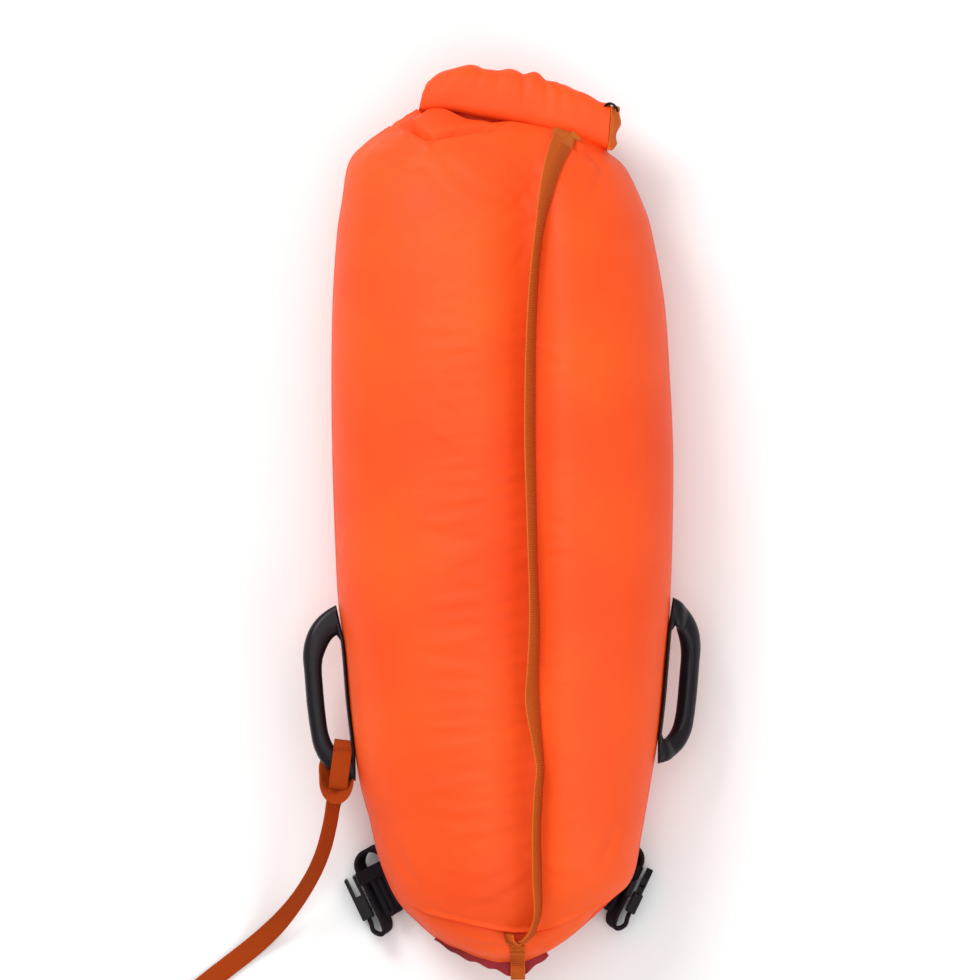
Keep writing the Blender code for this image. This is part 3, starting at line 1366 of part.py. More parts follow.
def make_leash(root, handle, webbing):
    """The hitch round the handle, the free tail, the coil on edge and the sewn loop at its end."""
    half_high = arm_height(handle) + GAP + WEBBING_THICKNESS / 2
    hitch, half_length = hitch_place()
    points = []
    for i in range(HITCH_STEPS):
        angle = 2 * math.pi * i / HITCH_STEPS
        c, s = math.cos(angle), math.sin(angle)
        y = math.copysign(abs(c) ** 0.8, c) * half_length
        z = math.copysign(abs(s) ** 0.6, s) * half_high
        for grow, wide in ((-1, -1), (-1, 1), (1, 1), (1, -1)):
            thick = grow * WEBBING_THICKNESS / 2
            points.append(
                Vector(
                    (
                        hitch.x + wide * HITCH_WIDTH / 2,
                        hitch.y + y + c * thick,
                        hitch.z + z + s * thick,
                    )
                )
            )
    faces = []
    for i in range(HITCH_STEPS):
        j = (i + 1) % HITCH_STEPS
        for k in range(4):
            m = (k + 1) % 4
            faces.append((4 * i + k, 4 * i + m, 4 * j + m, 4 * j + k))
    add_object("leash_hitch", mesh_of("leash_hitch", points, faces), webbing, root)
    below = hitch.y - half_length
    route = [(hitch.x + x, below + y, z, math.radians(tilt)) for x, y, z, tilt in LEASH_ROUTE]
    line = smooth_route(route, LEASH_STEPS)
    centres = [Vector(p[:3]) for p in line]
    tilts = [p[3] for p in line]
    mesh = ribbon("leash_tail", centres, tilts, LEASH_WIDTH, WEBBING_THICKNESS)
    add_object("leash_tail", mesh, webbing, root)
    low = LEASH_ROUTE[-1][2] - LEASH_WIDTH / 2
    end = Vector(route[-1][:2])
    middle = end + Vector((COIL_RADIUS, -GAP))
    coil = []
    steps = round(COIL_TURNS * COIL_STEPS)
    for i in range(steps + 1):
        turn = COIL_TURNS * i / steps
        angle = math.pi + 2 * math.pi * turn
        radius = COIL_RADIUS - COIL_PITCH * turn
        coil.append(middle + Vector((math.cos(angle), math.sin(angle))) * radius)
    mesh = strip_solid("leash_coil", coil, WEBBING_THICKNESS, low, low + LEASH_WIDTH)
    add_object("leash_coil", mesh, webbing, root)
    least_gap("leash_coil", coil, WEBBING_THICKNESS, SLACK)
    shape = ((0, 0), (0.30, 0.0), (0.62, -0.04), (0.90, 0.14), (0.98, 0.52), (0.72, 0.88), (0.36, 0.74), (0.17, 0.40))
    loop = []
    for a, b in smooth_route(shape, STRAP_STEPS):
        turned_on = math.pi + 2 * math.pi * COIL_TURNS + (GAP + a * END_LOOP_LENGTH) / radius
        out = radius - b * END_LOOP_WIDTH
        loop.append(middle + Vector((math.cos(turned_on), math.sin(turned_on))) * out)
    mesh = strip_solid("leash_end_loop", loop, WEBBING_THICKNESS, low, low + LEASH_WIDTH)
    add_object("leash_end_loop", mesh, webbing, root)
    return centres, coil


def least_gap(name, line, thickness, step):
    """Prints the least clear gap between parts of one line that lie further apart along it than a few steps."""
    fine = []
    for a, b in zip(line, line[1:]):
        pieces = max(1, math.ceil((b - a).length / step))
        fine += [a.lerp(b, k / pieces) for k in range(pieces)]
    fine.append(line[-1])
    places = [0.0]
    for a, b in zip(fine, fine[1:]):
        places.append(places[-1] + (b - a).length)
    apart = 4 * thickness
    least = min(
        (fine[j] - fine[i]).length
        for i in range(len(fine))
        for j in range(i + 1, len(fine))
        if places[j] - places[i] > apart
    )
    print(f"{name}: least gap to itself {(least - thickness) * 1000:.2f} mm, length {places[-1] * 1000:.0f} mm")


def main():
    clear_scene()
    root = bpy.data.objects.new("buoy", None)
    bpy.context.scene.collection.objects.link(root)
    fabric = material("coated orange fabric", "FF5A2B", 0.5)
    inner_film = material("clear inner film", "F0A080", 0.4)
    hem_fabric = material("dark red hem fabric", "7E1B22", 0.7)
    brown = material("brown orange webbing", "C2702F", 0.8)
    black = material("black webbing", "2A242B", 0.85)
    elastic = material("black elastic", "1E1A1F", 0.9)
    moulded = material("moulded black handle", "2A242B", 0.35)
    acetal = material("black buckle plastic", "1D1A1E", 0.4)
    rubber = material("valve rubber", "3A3A3C", 0.6)

    frames = {name: valve_frame(side) for name, side in (("left", -1), ("right", 1))}
    surface = make_panels(root, fabric, list(frames.values()))
    make_chamber_wall(root, surface, "left_chamber_wall", LEFT_WALL_X, inner_film)
    make_chamber_wall(root, surface, "right_chamber_wall", RIGHT_WALL_X, inner_film)
    make_roll(root, fabric, black)
    make_closure(root, brown, acetal)
    for name, frame in frames.items():
        make_valve(root, name, frame, acetal, rubber)
    left_handle = make_handle(
        root,
        "left_handle",
        -1,
        LEFT_HANDLE_TOP_SHARE,
        LEFT_HANDLE_LENGTH,
        HANDLE_REACH,
        0.0,
        moulded,
    )
    make_handle(
        root,
        "right_handle",
        1,
        RIGHT_HANDLE_TOP_SHARE,
        RIGHT_HANDLE_LENGTH,
        HANDLE_REACH,
        RIGHT_HANDLE_DROOP,
        moulded,
    )
    make_front_strap(root, surface, brown)
    make_bottom_loop(root, surface, brown)
    make_hem(root, hem_fabric)

    bundles = {}
    for name, shares, side in (("left", LEFT_BELT_START_SHARES, -1), ("right", RIGHT_BELT_START_SHARES, 1)):
        edge = edge_point(BAG_BOTTOM_Y + shares[1] * BAG_LENGTH, side)
        start = edge - Vector((side * shares[0] * BAG_HALF_WIDTH, 0))
        bundles[name] = make_belt(root, name, start, side, black)
        make_keeper(root, name, bundles[name], elastic)
        make_anchor(root, surface, name, bundles[name], black)
    buckle_end = BELT_RUN * BELT_BUCKLE_SHARE
    socket_object(
        "belt_socket", root, acetal, buckle_frame(bundles["left"], buckle_end - SOCKET_LENGTH, -1)
    )
    belt_plug = buckle_frame(bundles["right"], buckle_end - PLUG_BASE_LENGTH, 1)
    plug_object("belt_plug", root, acetal, belt_plug)
    prong_object("belt_prong_upper", root, acetal, belt_plug, 1)
    prong_object("belt_prong_lower", root, acetal, belt_plug, -1)
    make_adjuster(root, bundles["right"], acetal)
    make_leash(root, left_handle, brown)


main()
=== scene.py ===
"""The looks of an open water swim buoy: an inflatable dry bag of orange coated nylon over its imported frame.

It is laid out as an add-on. The sizes and colours are properties of the scene, and each group of like pieces is
made by its own operator. Lengths are in metres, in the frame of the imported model. Only the tables that say so are
in millimetres.
"""

import json
import math

import bmesh
import bpy
import numpy as np
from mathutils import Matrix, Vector
from mathutils.bvhtree import BVHTree


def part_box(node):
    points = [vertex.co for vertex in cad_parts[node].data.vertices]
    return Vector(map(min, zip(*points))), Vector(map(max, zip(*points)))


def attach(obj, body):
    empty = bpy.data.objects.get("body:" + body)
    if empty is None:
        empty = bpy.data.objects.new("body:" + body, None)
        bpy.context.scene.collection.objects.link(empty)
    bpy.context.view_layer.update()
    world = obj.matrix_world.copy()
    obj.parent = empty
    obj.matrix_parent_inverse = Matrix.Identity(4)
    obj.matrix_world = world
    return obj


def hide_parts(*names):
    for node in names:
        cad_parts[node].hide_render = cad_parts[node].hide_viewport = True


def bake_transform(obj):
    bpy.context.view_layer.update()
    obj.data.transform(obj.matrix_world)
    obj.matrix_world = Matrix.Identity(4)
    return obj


bl_info = {
    "name": "Open water swim buoy",
    "version": (1, 0, 0),
    "blender": (4, 5, 0),
    "location": "3D View > Sidebar > Buoy",
    "description": "Builds the soft goods, finishes and stage of an inflatable open water swim buoy",
    "category": "Object",
}

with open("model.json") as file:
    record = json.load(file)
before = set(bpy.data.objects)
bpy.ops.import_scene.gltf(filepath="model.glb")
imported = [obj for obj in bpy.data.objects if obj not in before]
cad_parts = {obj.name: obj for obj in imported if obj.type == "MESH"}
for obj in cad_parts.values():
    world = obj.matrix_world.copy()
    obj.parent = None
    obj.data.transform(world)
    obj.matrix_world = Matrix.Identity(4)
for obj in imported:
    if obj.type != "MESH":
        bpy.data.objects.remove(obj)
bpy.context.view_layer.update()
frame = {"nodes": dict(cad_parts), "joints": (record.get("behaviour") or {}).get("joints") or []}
NODES = frame["nodes"]

# The bag, by the same values as its frame
BAG_LENGTH = 0.700
BAG_BOTTOM_Y = -0.372
BAG_HALF_WIDTH = 0.1428
FRONT_DEPTH = 0.092
BACK_DEPTH = 0.077
SEAM_Z = 0.070
NECK_LIFT = 0.010
NECK_START = 0.86
VALLEY_X = 0.024
VALLEY_DEPTH = 0.016
VALLEY_REACHES = (0.026, 0.019)
CROWN_POWER = 2.4
# Stations up the bag: the left edge's height and place across, the right edge's, then the front's and the back's
# depth, all as shares of the bag's length, half width and depths
STATIONS = (
    (0.0012, -0.030, 0.0012, 0.125, 0.0, 0.0),
    (0.0057, -0.119, 0.0128, 0.245, 0.17, 0.15),
    (0.0157, -0.238, 0.0230, 0.330, 0.27, 0.24),
    (0.0300, -0.378, 0.0457, 0.476, 0.38, 0.34),
    (0.0579, -0.536, 0.0714, 0.616, 0.52, 0.46),
    (0.0857, -0.637, 0.0914, 0.721, 0.62, 0.56),
    (0.1286, -0.721, 0.1129, 0.777, 0.70, 0.64),
    (0.1757, -0.777, 0.1557, 0.816, 0.78, 0.72),
    (0.2200, -0.833, 0.1957, 0.851, 0.84, 0.79),
    (0.3029, -0.889, 0.2886, 0.924, 0.91, 0.88),
    (0.3786, -0.921, 0.3743, 0.963, 0.95, 0.94),
    (0.4371, -0.959, 0.4371, 0.984, 0.975, 0.97),
    (0.5243, -0.980, 0.5243, 0.998, 0.99, 0.99),
    (0.6171, -0.994, 0.6171, 1.001, 1.00, 1.00),
    (0.7100, -0.998, 0.7100, 0.980, 1.00, 1.00),
    (0.7957, -0.991, 0.7957, 0.949, 0.98, 0.97),
    (0.8743, -0.966, 0.8786, 0.875, 0.92, 0.90),
    (0.9129, -0.938, 0.9114, 0.823, 0.86, 0.83),
    (0.9600, -0.898, 0.9460, 0.746, 0.72, 0.68),
    (0.9829, -0.805, 0.9600, 0.697, 0.56, 0.50),
    (1.0014, -0.679, 0.9670, 0.658, 0.36, 0.33),
    (1.0157, -0.567, 0.9715, 0.630, 0.17, 0.15),
    (1.0250, -0.504, 0.9750, 0.609, 0.024, 0.024),
)
# How deep the valley between the lobes is at each station, as a share
VALLEYS = (
    0.0, 0.15, 0.3, 0.45, 0.6, 0.75, 0.85, 0.95, 1, 1, 1, 1, 1, 1, 1, 1, 0.9, 0.75, 0.5, 0.3, 0.12, 0.04, 0.0,
)
LAST = len(STATIONS) - 1
BAG_ROWS = 330
BAG_COLUMNS = 145
PANEL_THICKNESS = 0.0009
FLOOR_GAP = 0.0003

# Folds of the front, each as (points, half width, depth, bulge above, bulge below), all in millimetres
FRONT_FOLDS = (
    (((-40, -352), (-16, -357), (4, -358), (20, -357)), 2.2, 0.8, 0.5, 0.4),
    (((30, -357), (52, -345), (70, -331)), 2.4, 0.7, 0.5, 0.4),
    (((-86, 334), (-80, 332), (-74, 328.5), (-68, 324), (-63, 321), (-55, 320.5)), 3.0, 5.4, 1.6, 3.0),
    (((-95, 329), (-86, 327), (-76, 327), (-70, 328)), 3.0, 1.6, 1.0, 0.8),
    (((-62, 319.5), (-50, 322), (-38, 324.5), (-24, 326.5), (-6, 328.5)), 2.3, 4.4, 1.3, 1.4),
    (((-112, 306), (-98, 300), (-80, 296), (-58, 296)), 4.4, 1.2, 1.0, 0.7),
    (((59, 318), (62, 312), (64, 308)), 2.2, 1.8, 0.9, 0.6),
    (((70, 308), (78, 300), (85, 290)), 2.6, 1.1, 0.7, 0.7),
    (((88, 300), (80, 286), (74, 268)), 3.4, 1.1, 0.8, 0.6),
    (((-30, 316), (-4, 312), (20, 314)), 4.2, 0.9, 0.7, 0.3),
    (((-92, -262), (-84, -286), (-70, -306)), 4.0, 0.8, 0.7, 0.4),
    (((96, -250), (90, -272), (80, -292)), 4.0, 0.9, 0.7, 0.4),
)
# The long fold across the bottom, where the lobes hang over the band below: its line, half width, depth, bulge
# above, bulge below, and how deep and how far the band below it drops, all in millimetres
BOTTOM_FOLD = (
    ((-84, -318), (-65, -330), (-38, -336.5), (-6.5, -343.5), (8.5, -346), (26.5, -345), (47.5, -339), (89.5, -319),
     (110, -304)),
    1.20, 5.6, 2.0, 0.0, 5.2, 7.0,
)
# The station whose row follows that fold, and the one from which the rows lie straight again
FOLD_PLACE = 4.0
FOLD_REACH = 8.0
# How far the shoulder hangs over the near edge of the rolled mouth, as (x, reach) in millimetres
SHOULDER_REACH = (
    (-106, -29.5), (-101, -26), (-98, -20.5), (-91.5, -16), (-88.8, -15), (-87, -12), (-82, -10), (-76, -7.8),
    (-72, -6), (-67.5, -3), (-63, 1.6), (-58, 3.6), (-53, 4.6), (-48, 5.0), (-44, 4.2), (-35, 1.5), (-30, 0.3),
    (-20, 0.8), (-9, 1.5), (0, 4.5), (8, 6.6), (20, 7.4), (38, 7.4), (50, 7.4), (60, 6.9), (70, 6.0), (79, 3.5),
    (88, -0.5), (100, -9),
)
# The station of the shoulder's edge. Up to it the rows reach over the roll by a growing share. Beyond it they tuck in
# under the edge, and reach past the neck by no more than most and no less than least, as (station, millimetres)
SHOULDER_EDGE = 20.0
SHOULDER_EASE = ((15.5, 0), (16.5, 0.05), (17.5, 0.20), (18.5, 0.52), (19.3, 0.86), (19.8, 0.98), (20.0, 1.0))
SHOULDER_TUCK = ((20.0, 0), (20.3, 0.6), (20.5, 1.8), (20.75, 4.0), (21.0, 5.5), (21.5, 7.0), (22.0, 7.5))
SHOULDER_MOST = ((20.0, 20), (20.3, 9), (20.5, 5.0), (20.75, 2.2), (21.0, 0.8), (21.5, -0.2), (22.0, 0))
SHOULDER_LEAST = ((20.0, -12), (21.0, -4), (22.0, 0))
# Folds of the back, in the same order as the front's
BACK_FOLDS = (
    (((-80, -318), (-40, -334), (0, -342), (40, -334), (84, -310)), 2.8, 2.6, 1.2, 1.2),
    (((-96, 318), (-60, 318), (-20, 322), (20, 316), (60, 305)), 3.0, 2.0, 1.2, 1.0),
    (((-56, 290), (-57, 120), (-56, -80), (-54, -270)), 3.6, 1.4, 0.8, 0.8),
    (((70, 288), (71, 120), (70, -80), (67, -270)), 3.6, 1.4, 0.8, 0.8),
)
# The row of ripples that the slack centre gathers into: from where to where, from where fainter, and its middle
GATHERS_START = -0.255
GATHERS_END = 0.235
GATHERS_FAINT = 0.06
GATHERS_X = -0.012
# Scattered wrinkles, each as (how many, area, seed, share of the wrinkle height, how much their lean varies)
FRONT_WRINKLES = (
    (24, ((-0.046, 0.018), (-0.235, 0.04)), 3, 0.5, 0.2),
    (14, ((0.032, 0.066), (-0.150, 0.01)), 5, 0.5, 0.2),
    (34, ((-0.060, 0.070), (0.03, 0.29)), 8, 0.45, 0.5),
    (26, ((-0.080, 0.080), (-0.330, -0.235)), 13, 0.6, 0.35),
    (26, ((-0.110, 0.080), (0.250, 0.315)), 21, 0.6, 0.5),
)
BACK_WRINKLES = (90, ((-0.110, 0.110), (-0.330, 0.320)), 34, 0.6, 0.6)

# The welded bands along the side seams: columns on each side of the seam, rows, and the profile of their rise
WELD_REACH = 4
WELD_ROWS = slice(10, BAG_ROWS - 16)
WELD_LIFT = 0.00015
WELD_THICKNESS = 0.0001
WELD_HEIGHT = 0.00055
WELD_PROFILE = (0.05, 0.6, 1, 1, 1.35, 1, 1, 0.6, 0.05)

# The hem behind the bottom edge: its outer and inner edges in millimetres
HEM_OUTER = (
    (-57, -352), (-47, -358.5), (-35, -366), (-20, -372), (-5, -377.5), (7, -382), (15, -382.5), (23, -377.5),
    (32, -371.5), (39, -364.5),
)
HEM_INNER = (
    (-55.5, -349.4), (-43, -353.6), (-32, -359.2), (-17.5, -364.6), (-3, -368.4), (7, -369.0), (15, -368.6),
    (22, -367.0), (29, -363.5), (36, -359.6),
)

# Valves: where each sits on the back panel, the hole under its flange, and the rings of the welded patch round it
VALVES = {"left": (-0.093, 0.250, 0.01613), "right": (0.093, 0.250, 0.02325)}
VALVE_HOLE = 0.0083
PATCH_RADII = (0.0086, 0.012, 0.016, 0.020, 0.0235, 0.0255, 0.0262)
PATCH_RISES = (0.0004, 0.0004, 0.0004, 0.0004, 0.0009, 0.0008, 0.0002)

# Webbing. The ribbed kind is a core with ribs laid over it
WEBBING_WIDTH = 0.020
WEBBING_THICKNESS = 0.0016
CORE_THICKNESS = 0.0012
RIB_HEIGHT = 0.0007
# The front strap, as (place across, place up, tilt from flat in degrees), in shares of the half width and the length
STRAP_ROUTE = (
    (0.3670, 0.99686, 8), (0.3545, 0.98643, 10), (0.3345, 0.97714, 18), (0.3060, 0.96286, 32),
    (0.2760, 0.94143, 44), (0.2486, 0.91571, 54), (0.2206, 0.88429, 66), (0.1926, 0.83857, 68),
    (0.1751, 0.78857, 66), (0.1646, 0.73143, 64), (0.1611, 0.67429, 62), (0.1611, 0.61857, 62),
    (0.1681, 0.56, 64), (0.1751, 0.50286, 66), (0.1835, 0.44571, 66), (0.1877, 0.40286, 62),
    (0.1786, 0.35286, 58), (0.1751, 0.31714, 50), (0.1996, 0.27429, 62), (0.2206, 0.23857, 70),
    (0.2101, 0.21, 68), (0.1996, 0.16, 68), (0.2045, 0.10286, 66), (0.2101, 0.0730, 70),
    (0.2010, 0.0560, 74), (0.1720, 0.0400, 76), (0.1250, 0.0290, 76), (0.0800, 0.0255, 76),
    (0.0560, 0.0285, 75), (0.0440, 0.0330, 72), (0.0400, 0.0375, 68),
)
STRAP_TAPED = 8
# The corner of the strap's folded end, as (x, y, tilt)
CORNER_ROUTE = ((0.0572, 0.3230, 6), (0.0602, 0.3218, 4), (0.0634, 0.3200, 2), (0.0662, 0.3182, 0))
CORNER_WIDTH = 0.006
# The webbing loop over the bottom edge: where it lies in front and behind, and how it rounds the hem
LOOP_X = 0.0130
LOOP_WIDTH = 0.0132
LOOP_OFF = 0.0016
LOOP_FRONT = (-0.3562, -0.3702)
LOOP_BACK = (-0.3700, -0.3480)
LOOP_BEND = -0.3768
LOOP_BEND_REACH = 0.0060
LOOP_TIP = BAG_BOTTOM_Y - 0.0117
LOOP_TIP_REACH = 0.0022

# Rolled mouth
ROLL_HALF_LENGTH = 0.0785
ROLL_SHIFT = 0.0015
ROLL_HALF_WIDTH = 0.0210
ROLL_HALF_HEIGHT = 0.0132
ROLL_LAYER = 0.0024
ROLL_PITCH = 0.0039
ROLL_TURNS = 2.25
ROLL_STEPS = 44
ROLL_TAIL = 0.0225
# The roll's far and near edges as the photograph shows them, as (along, across) in millimetres, and its height as
# (along in millimetres, share)
ROLL_FAR = (
    (-80.5, -11), (-80, -5), (-78.5, 0), (-75.5, 5.5), (-71, 10.5), (-65, 15), (-57, 19.8), (-49, 23), (-42, 24.2),
    (-35, 23.4), (-30, 24.0), (-24, 23.8), (-20, 24.6), (-15, 27.4), (-10, 28.6), (-5, 27.6), (-1, 25.6), (2, 27.2),
    (7, 29.6), (11, 29.4), (15, 27.2), (18.5, 25.0), (22, 25.6), (27, 25.4), (31, 24.0), (36, 24.2), (44, 23.0),
    (52, 21.6), (60, 19.6), (66, 18.4), (71, 17.2), (76, 17.2), (81, 16.6),
)
ROLL_NEAR = (
    (-80.5, -22), (-79.5, -24.4), (-77, -25), (-70, -24.6), (-60, -23.2), (-50, -22), (-20, -21.4), (40, -21.4),
    (66, -22.8), (76, -24.4), (81, -25.0),
)
ROLL_RISE = (
    (-80.5, 0.26), (-80, 0.34), (-79, 0.46), (-77.5, 0.56), (-75.5, 0.67), (-73, 0.80), (-70, 0.90), (-66, 0.97),
    (-60, 1.0), (81, 1.0),
)
ROLL_END_HEIGHT = 0.0012
ROLL_SKEW = 0.15
ROLL_NEAR_EDGE = -0.0226
ROLL_LEFT_END = -0.0805
ROLL_LEFT_FULL = -0.070
ROLL_RIGHT_END = 0.0812
# Creases that run up over the roll from the notches in its far edge, as (place along, reach, depth, lean)
ROLL_NOTCHES = (
    (-0.0010, 0.0030, 0.0022, 0.5), (0.0185, 0.0030, 0.0020, 0.6), (-0.0220, 0.0030, 0.0010, 0.3),
    (-0.0350, 0.0034, 0.0011, -0.4), (0.0310, 0.0034, 0.0010, 0.7), (0.0480, 0.0050, 0.0008, 0.6),
    (-0.0580, 0.0040, 0.0011, -0.9),
)
# Creases along the roll, as (share across it, lean, middle, half length, depth)
ROLL_CREASES = (
    (0.42, 0.9, 0.004, 0.034, 0.0008), (0.60, -1.4, -0.036, 0.024, 0.0009), (0.30, 0.6, -0.050, 0.020, 0.0008),
    (0.52, 1.2, 0.052, 0.020, 0.0006), (0.22, -0.5, 0.030, 0.030, 0.0006),
)
# The stiffener inside the roll, as (along, across, up) in millimetres
STIFFENER_ROUTE = (
    (-43, 0, -5.6), (0, 0, -5.6), (40, 0, -5.6), (58, 1, -5.4), (66, 5, -4), (70, 10, 1), (73.0, 14.6, 5.5),
    (76.6, 15.6, 8.2), (80.4, 13.6, 9.4), (82.6, 10.6, 9.2),
)
STIFFENER_WIDTH = 0.0090
STIFFENER_THICKNESS = 0.0018

# The webbing tabs and the buckle behind the roll
LEFT_TAB_TURN = 0.0042
TAB_TURN = 0.0105
CLOSURE_DROP = 0.0245
CLOSURE_SIDE = 0.0045
CLOSURE_MOUTH = 0.0440
SOCKET_LENGTH = 0.0380
PLUG_BASE_LENGTH = 0.0180
SLOT_LENGTH = 0.0038
BUCKLE_HEIGHT = 0.0104
TAB_WIDTHS = {"right": 0.0355, "left": 0.0164}
TAB_THICKNESS = 0.0014
TAB_RIB_PITCH = 0.0020
TAB_RIB_HEIGHT = 0.00012

# Handles: each one's side, its top, its length, and the angle by which it droops
HANDLES = {"left": (-1, -0.0705, 0.1480, 0.0), "right": (1, -0.0640, 0.1400, math.radians(45))}
HANDLE_SIDES = 32
HANDLE_ROUNDING = 0.80
HANDLE_GAP = 0.0003
HANDLE_REACH = 0.0360
HANDLE_BASE = 0.0032
HANDLE_HALF_HEIGHT = 0.0078
HANDLE_BASE_HALF_HEIGHT = 0.0120
# Sections of the grip: outer edge out and along, inner edge out and along, thickness, all in shares
GRIP = (
    (0.07, 0.000, 0.165, 0.172, 0.55),
    (0.30, 0.030, 0.290, 0.196, 0.65),
    (0.56, 0.078, 0.410, 0.236, 0.80),
    (0.77, 0.138, 0.520, 0.290, 0.95),
    (0.92, 0.208, 0.575, 0.340, 1.00),
    (1.00, 0.290, 0.590, 0.392, 1.00),
    (1.00, 0.385, 0.590, 0.450, 1.00),
    (1.00, 0.485, 0.590, 0.530, 1.00),
    (1.00, 0.605, 0.590, 0.640, 1.00),
    (0.99, 0.712, 0.580, 0.722, 1.00),
    (0.96, 0.808, 0.520, 0.786, 1.00),
    (0.84, 0.888, 0.410, 0.822, 0.90),
    (0.66, 0.940, 0.300, 0.842, 0.72),
    (0.42, 0.976, 0.215, 0.850, 0.60),
    (0.10, 1.000, 0.150, 0.852, 0.55),
)
# Sections of the base strip along the bag's edge, as shares of the handle's length
BASE_PLACES = (0.822, 0.75, 0.66, 0.55, 0.44, 0.34, 0.26, 0.202)
DROOP_START = 0.012

# Belt bundles
BELT_SLANT = math.radians(25.5)
BELT_RUN = 0.0470
BELT_TOP_LOOP = 0.0122
BELT_LOW_Z = 0.0040
BELT_SPARE_STEP = 0.0055
BELT_SPARE_TOP = 0.0090
BELT_SPARE_BOTTOM = 0.0420
BELT_BUCKLE_OUT = 0.0365
BELT_BUCKLE_SHARE = 0.86
BELT_END_LOOP = 0.0100
BELT_THICKNESS = 0.0032
BELT_RIBS = (0.0020, 0.00012)
BELT_SPARE_THICKNESS = 0.0044
BELT_SPARE_RIBS = (0.0020, 0.00014)
# The elastic keeper: its start along the folds, its width, thickness and ribs, and how far it is slack
KEEPER_START = 0.0070
KEEPER_WIDTH = 0.0118
KEEPER_THICKNESS = 0.0010
KEEPER_RIBS = (0.0012, 0.00010)
KEEPER_SLACK = 1.035
# The seams of the anchor: shares of the run at which they lie, and how far up they reach
ANCHOR_SEAMS = (0.56, 0.90)
ANCHOR_SEAM_HEIGHTS = (0.0262, 0.0420)
BUNDLE_STARTS = {"left": ((-0.0970, -0.2840), -1), "right": ((0.0925, -0.2790), 1)}

# The hitch round the handle's lower arm: its middle, how it leans along the arm, its band and its bight's route
HITCH = Vector((-0.1352, -0.2050, 0.0700))
HITCH_LEAN = 0.127
HITCH_HALF_LENGTH = 0.0205
HITCH_BAND_WIDTH = 0.0160
HITCH_BIGHT_WIDTH = 0.0125
HITCH_BIGHT = (
    (-0.1462, -0.2000, 0.0588, 0), (-0.1480, -0.2070, 0.0594, 14), (-0.1490, -0.2150, 0.0630, 42),
    (-0.1486, -0.2225, 0.0692, 50), (-0.1458, -0.2286, 0.0742, 46), (-0.1412, -0.2322, 0.0772, 38),
    (-0.1365, -0.2318, 0.0776, 36), (-0.1318, -0.2274, 0.0750, 44), (-0.1288, -0.2200, 0.0694, 56),
    (-0.1284, -0.2120, 0.0618, 42), (-0.1305, -0.2040, 0.0585, 0),
)
# The leash's route, as (x, y, z, tilt of its width from flat in degrees), its coil and its sewn loop
LEASH_WIDTH = 0.0170
LEASH_THICKNESS = 0.0015
LEASH_STEP = 0.0008
LEASH_RIB_HEIGHT = 0.00008
LEASH_ROUTE = (
    (-0.1374, -0.2263, 0.0700, 0), (-0.1392, -0.2300, 0.0694, 30), (-0.1418, -0.2390, 0.0668, 46),
    (-0.1449, -0.2560, 0.0612, 47), (-0.1500, -0.2760, 0.0520, 46), (-0.1577, -0.2950, 0.0415, 45),
    (-0.1680, -0.3130, 0.0305, 42), (-0.1795, -0.3290, 0.0205, 34), (-0.1935, -0.3450, 0.0115, 20),
    (-0.2110, -0.3610, 0.0045, 8), (-0.2300, -0.3760, 0.0022, 0), (-0.2480, -0.3900, 0.0020, 0),
    (-0.2630, -0.4030, 0.0036, 12), (-0.2740, -0.4180, 0.0078, 45), (-0.2795, -0.4350, 0.0094, 75),
    (-0.2800, -0.4500, 0.0095, 90),
)
COIL_RADIUS = 0.0400
COIL_PITCH = 0.0095
COIL_TURNS = 1.45
END_LOOP_LENGTH = 0.0240
END_LOOP_WIDTH = 0.0100
END_LOOP = (
    (0, 0), (0.30, 0.0), (0.62, -0.04), (0.90, 0.14), (0.98, 0.52), (0.72, 0.88), (0.36, 0.74), (0.17, 0.40),
)

# The stage: the paper's half size, how wide the picture is where the buoy lies, and the camera's place over it
FLOOR_HALF = 6.0
FLOOR_Z = -0.0004
PICTURE_WIDTH = 0.8232
SENSOR_WIDTH = 36.0
CAMERA_X = -0.0101
CAMERA_Y = 0.0260
CAMERA_AWAY = 8.0
SKY_STRENGTH = 0.54
# Its lamps, as (name, place, diameter, power)
LAMPS = (
    ("key_lamp", (-1.2, 1.5, 2.0), 1.1, 33.0),
    ("fill_lamp", (1.4, -1.3, 1.8), 1.8, 15.0),
    ("top_lamp", (-0.1, 0.2, 2.9), 2.2, 22.0),
)

# Colours of small things, and the deeper tones that go with some of the scene's colours
MINOR_COLOURS = {
    "weld_deep": "E8431D",
    # The hem's deeper tone is painted shade too, the darkest part of that shadowed edge
    "hem_painted_shade_deep": "5E1018",
    "film_deep": "E08A66",
    "elastic": "231D23",
    "tape": "C9692C",
    "thread": "8E4016",
    "leash_thread": "7A2A12",
    "black_thread": "3A333B",
}

# Finishes, shared node groups and surfaces, each kept under its name once it is made
made = {}


def linear(hex_colour):
    """Six sRGB hex digits as a linear colour."""
    channels = [int(hex_colour[i : i + 2], 16) / 255 for i in (0, 2, 4)]
    return tuple(c / 12.92 if c <= 0.04045 else ((c + 0.055) / 1.055) ** 2.4 for c in channels)


def colour_property(name, description, hex_colour):
    return bpy.props.FloatVectorProperty(
        name=name, description=description, subtype="COLOR", size=3, min=0, max=1, default=linear(hex_colour)
    )


def length_property(name, description, default):
    return bpy.props.FloatProperty(name=name, description=description, default=default, min=0, unit="LENGTH")


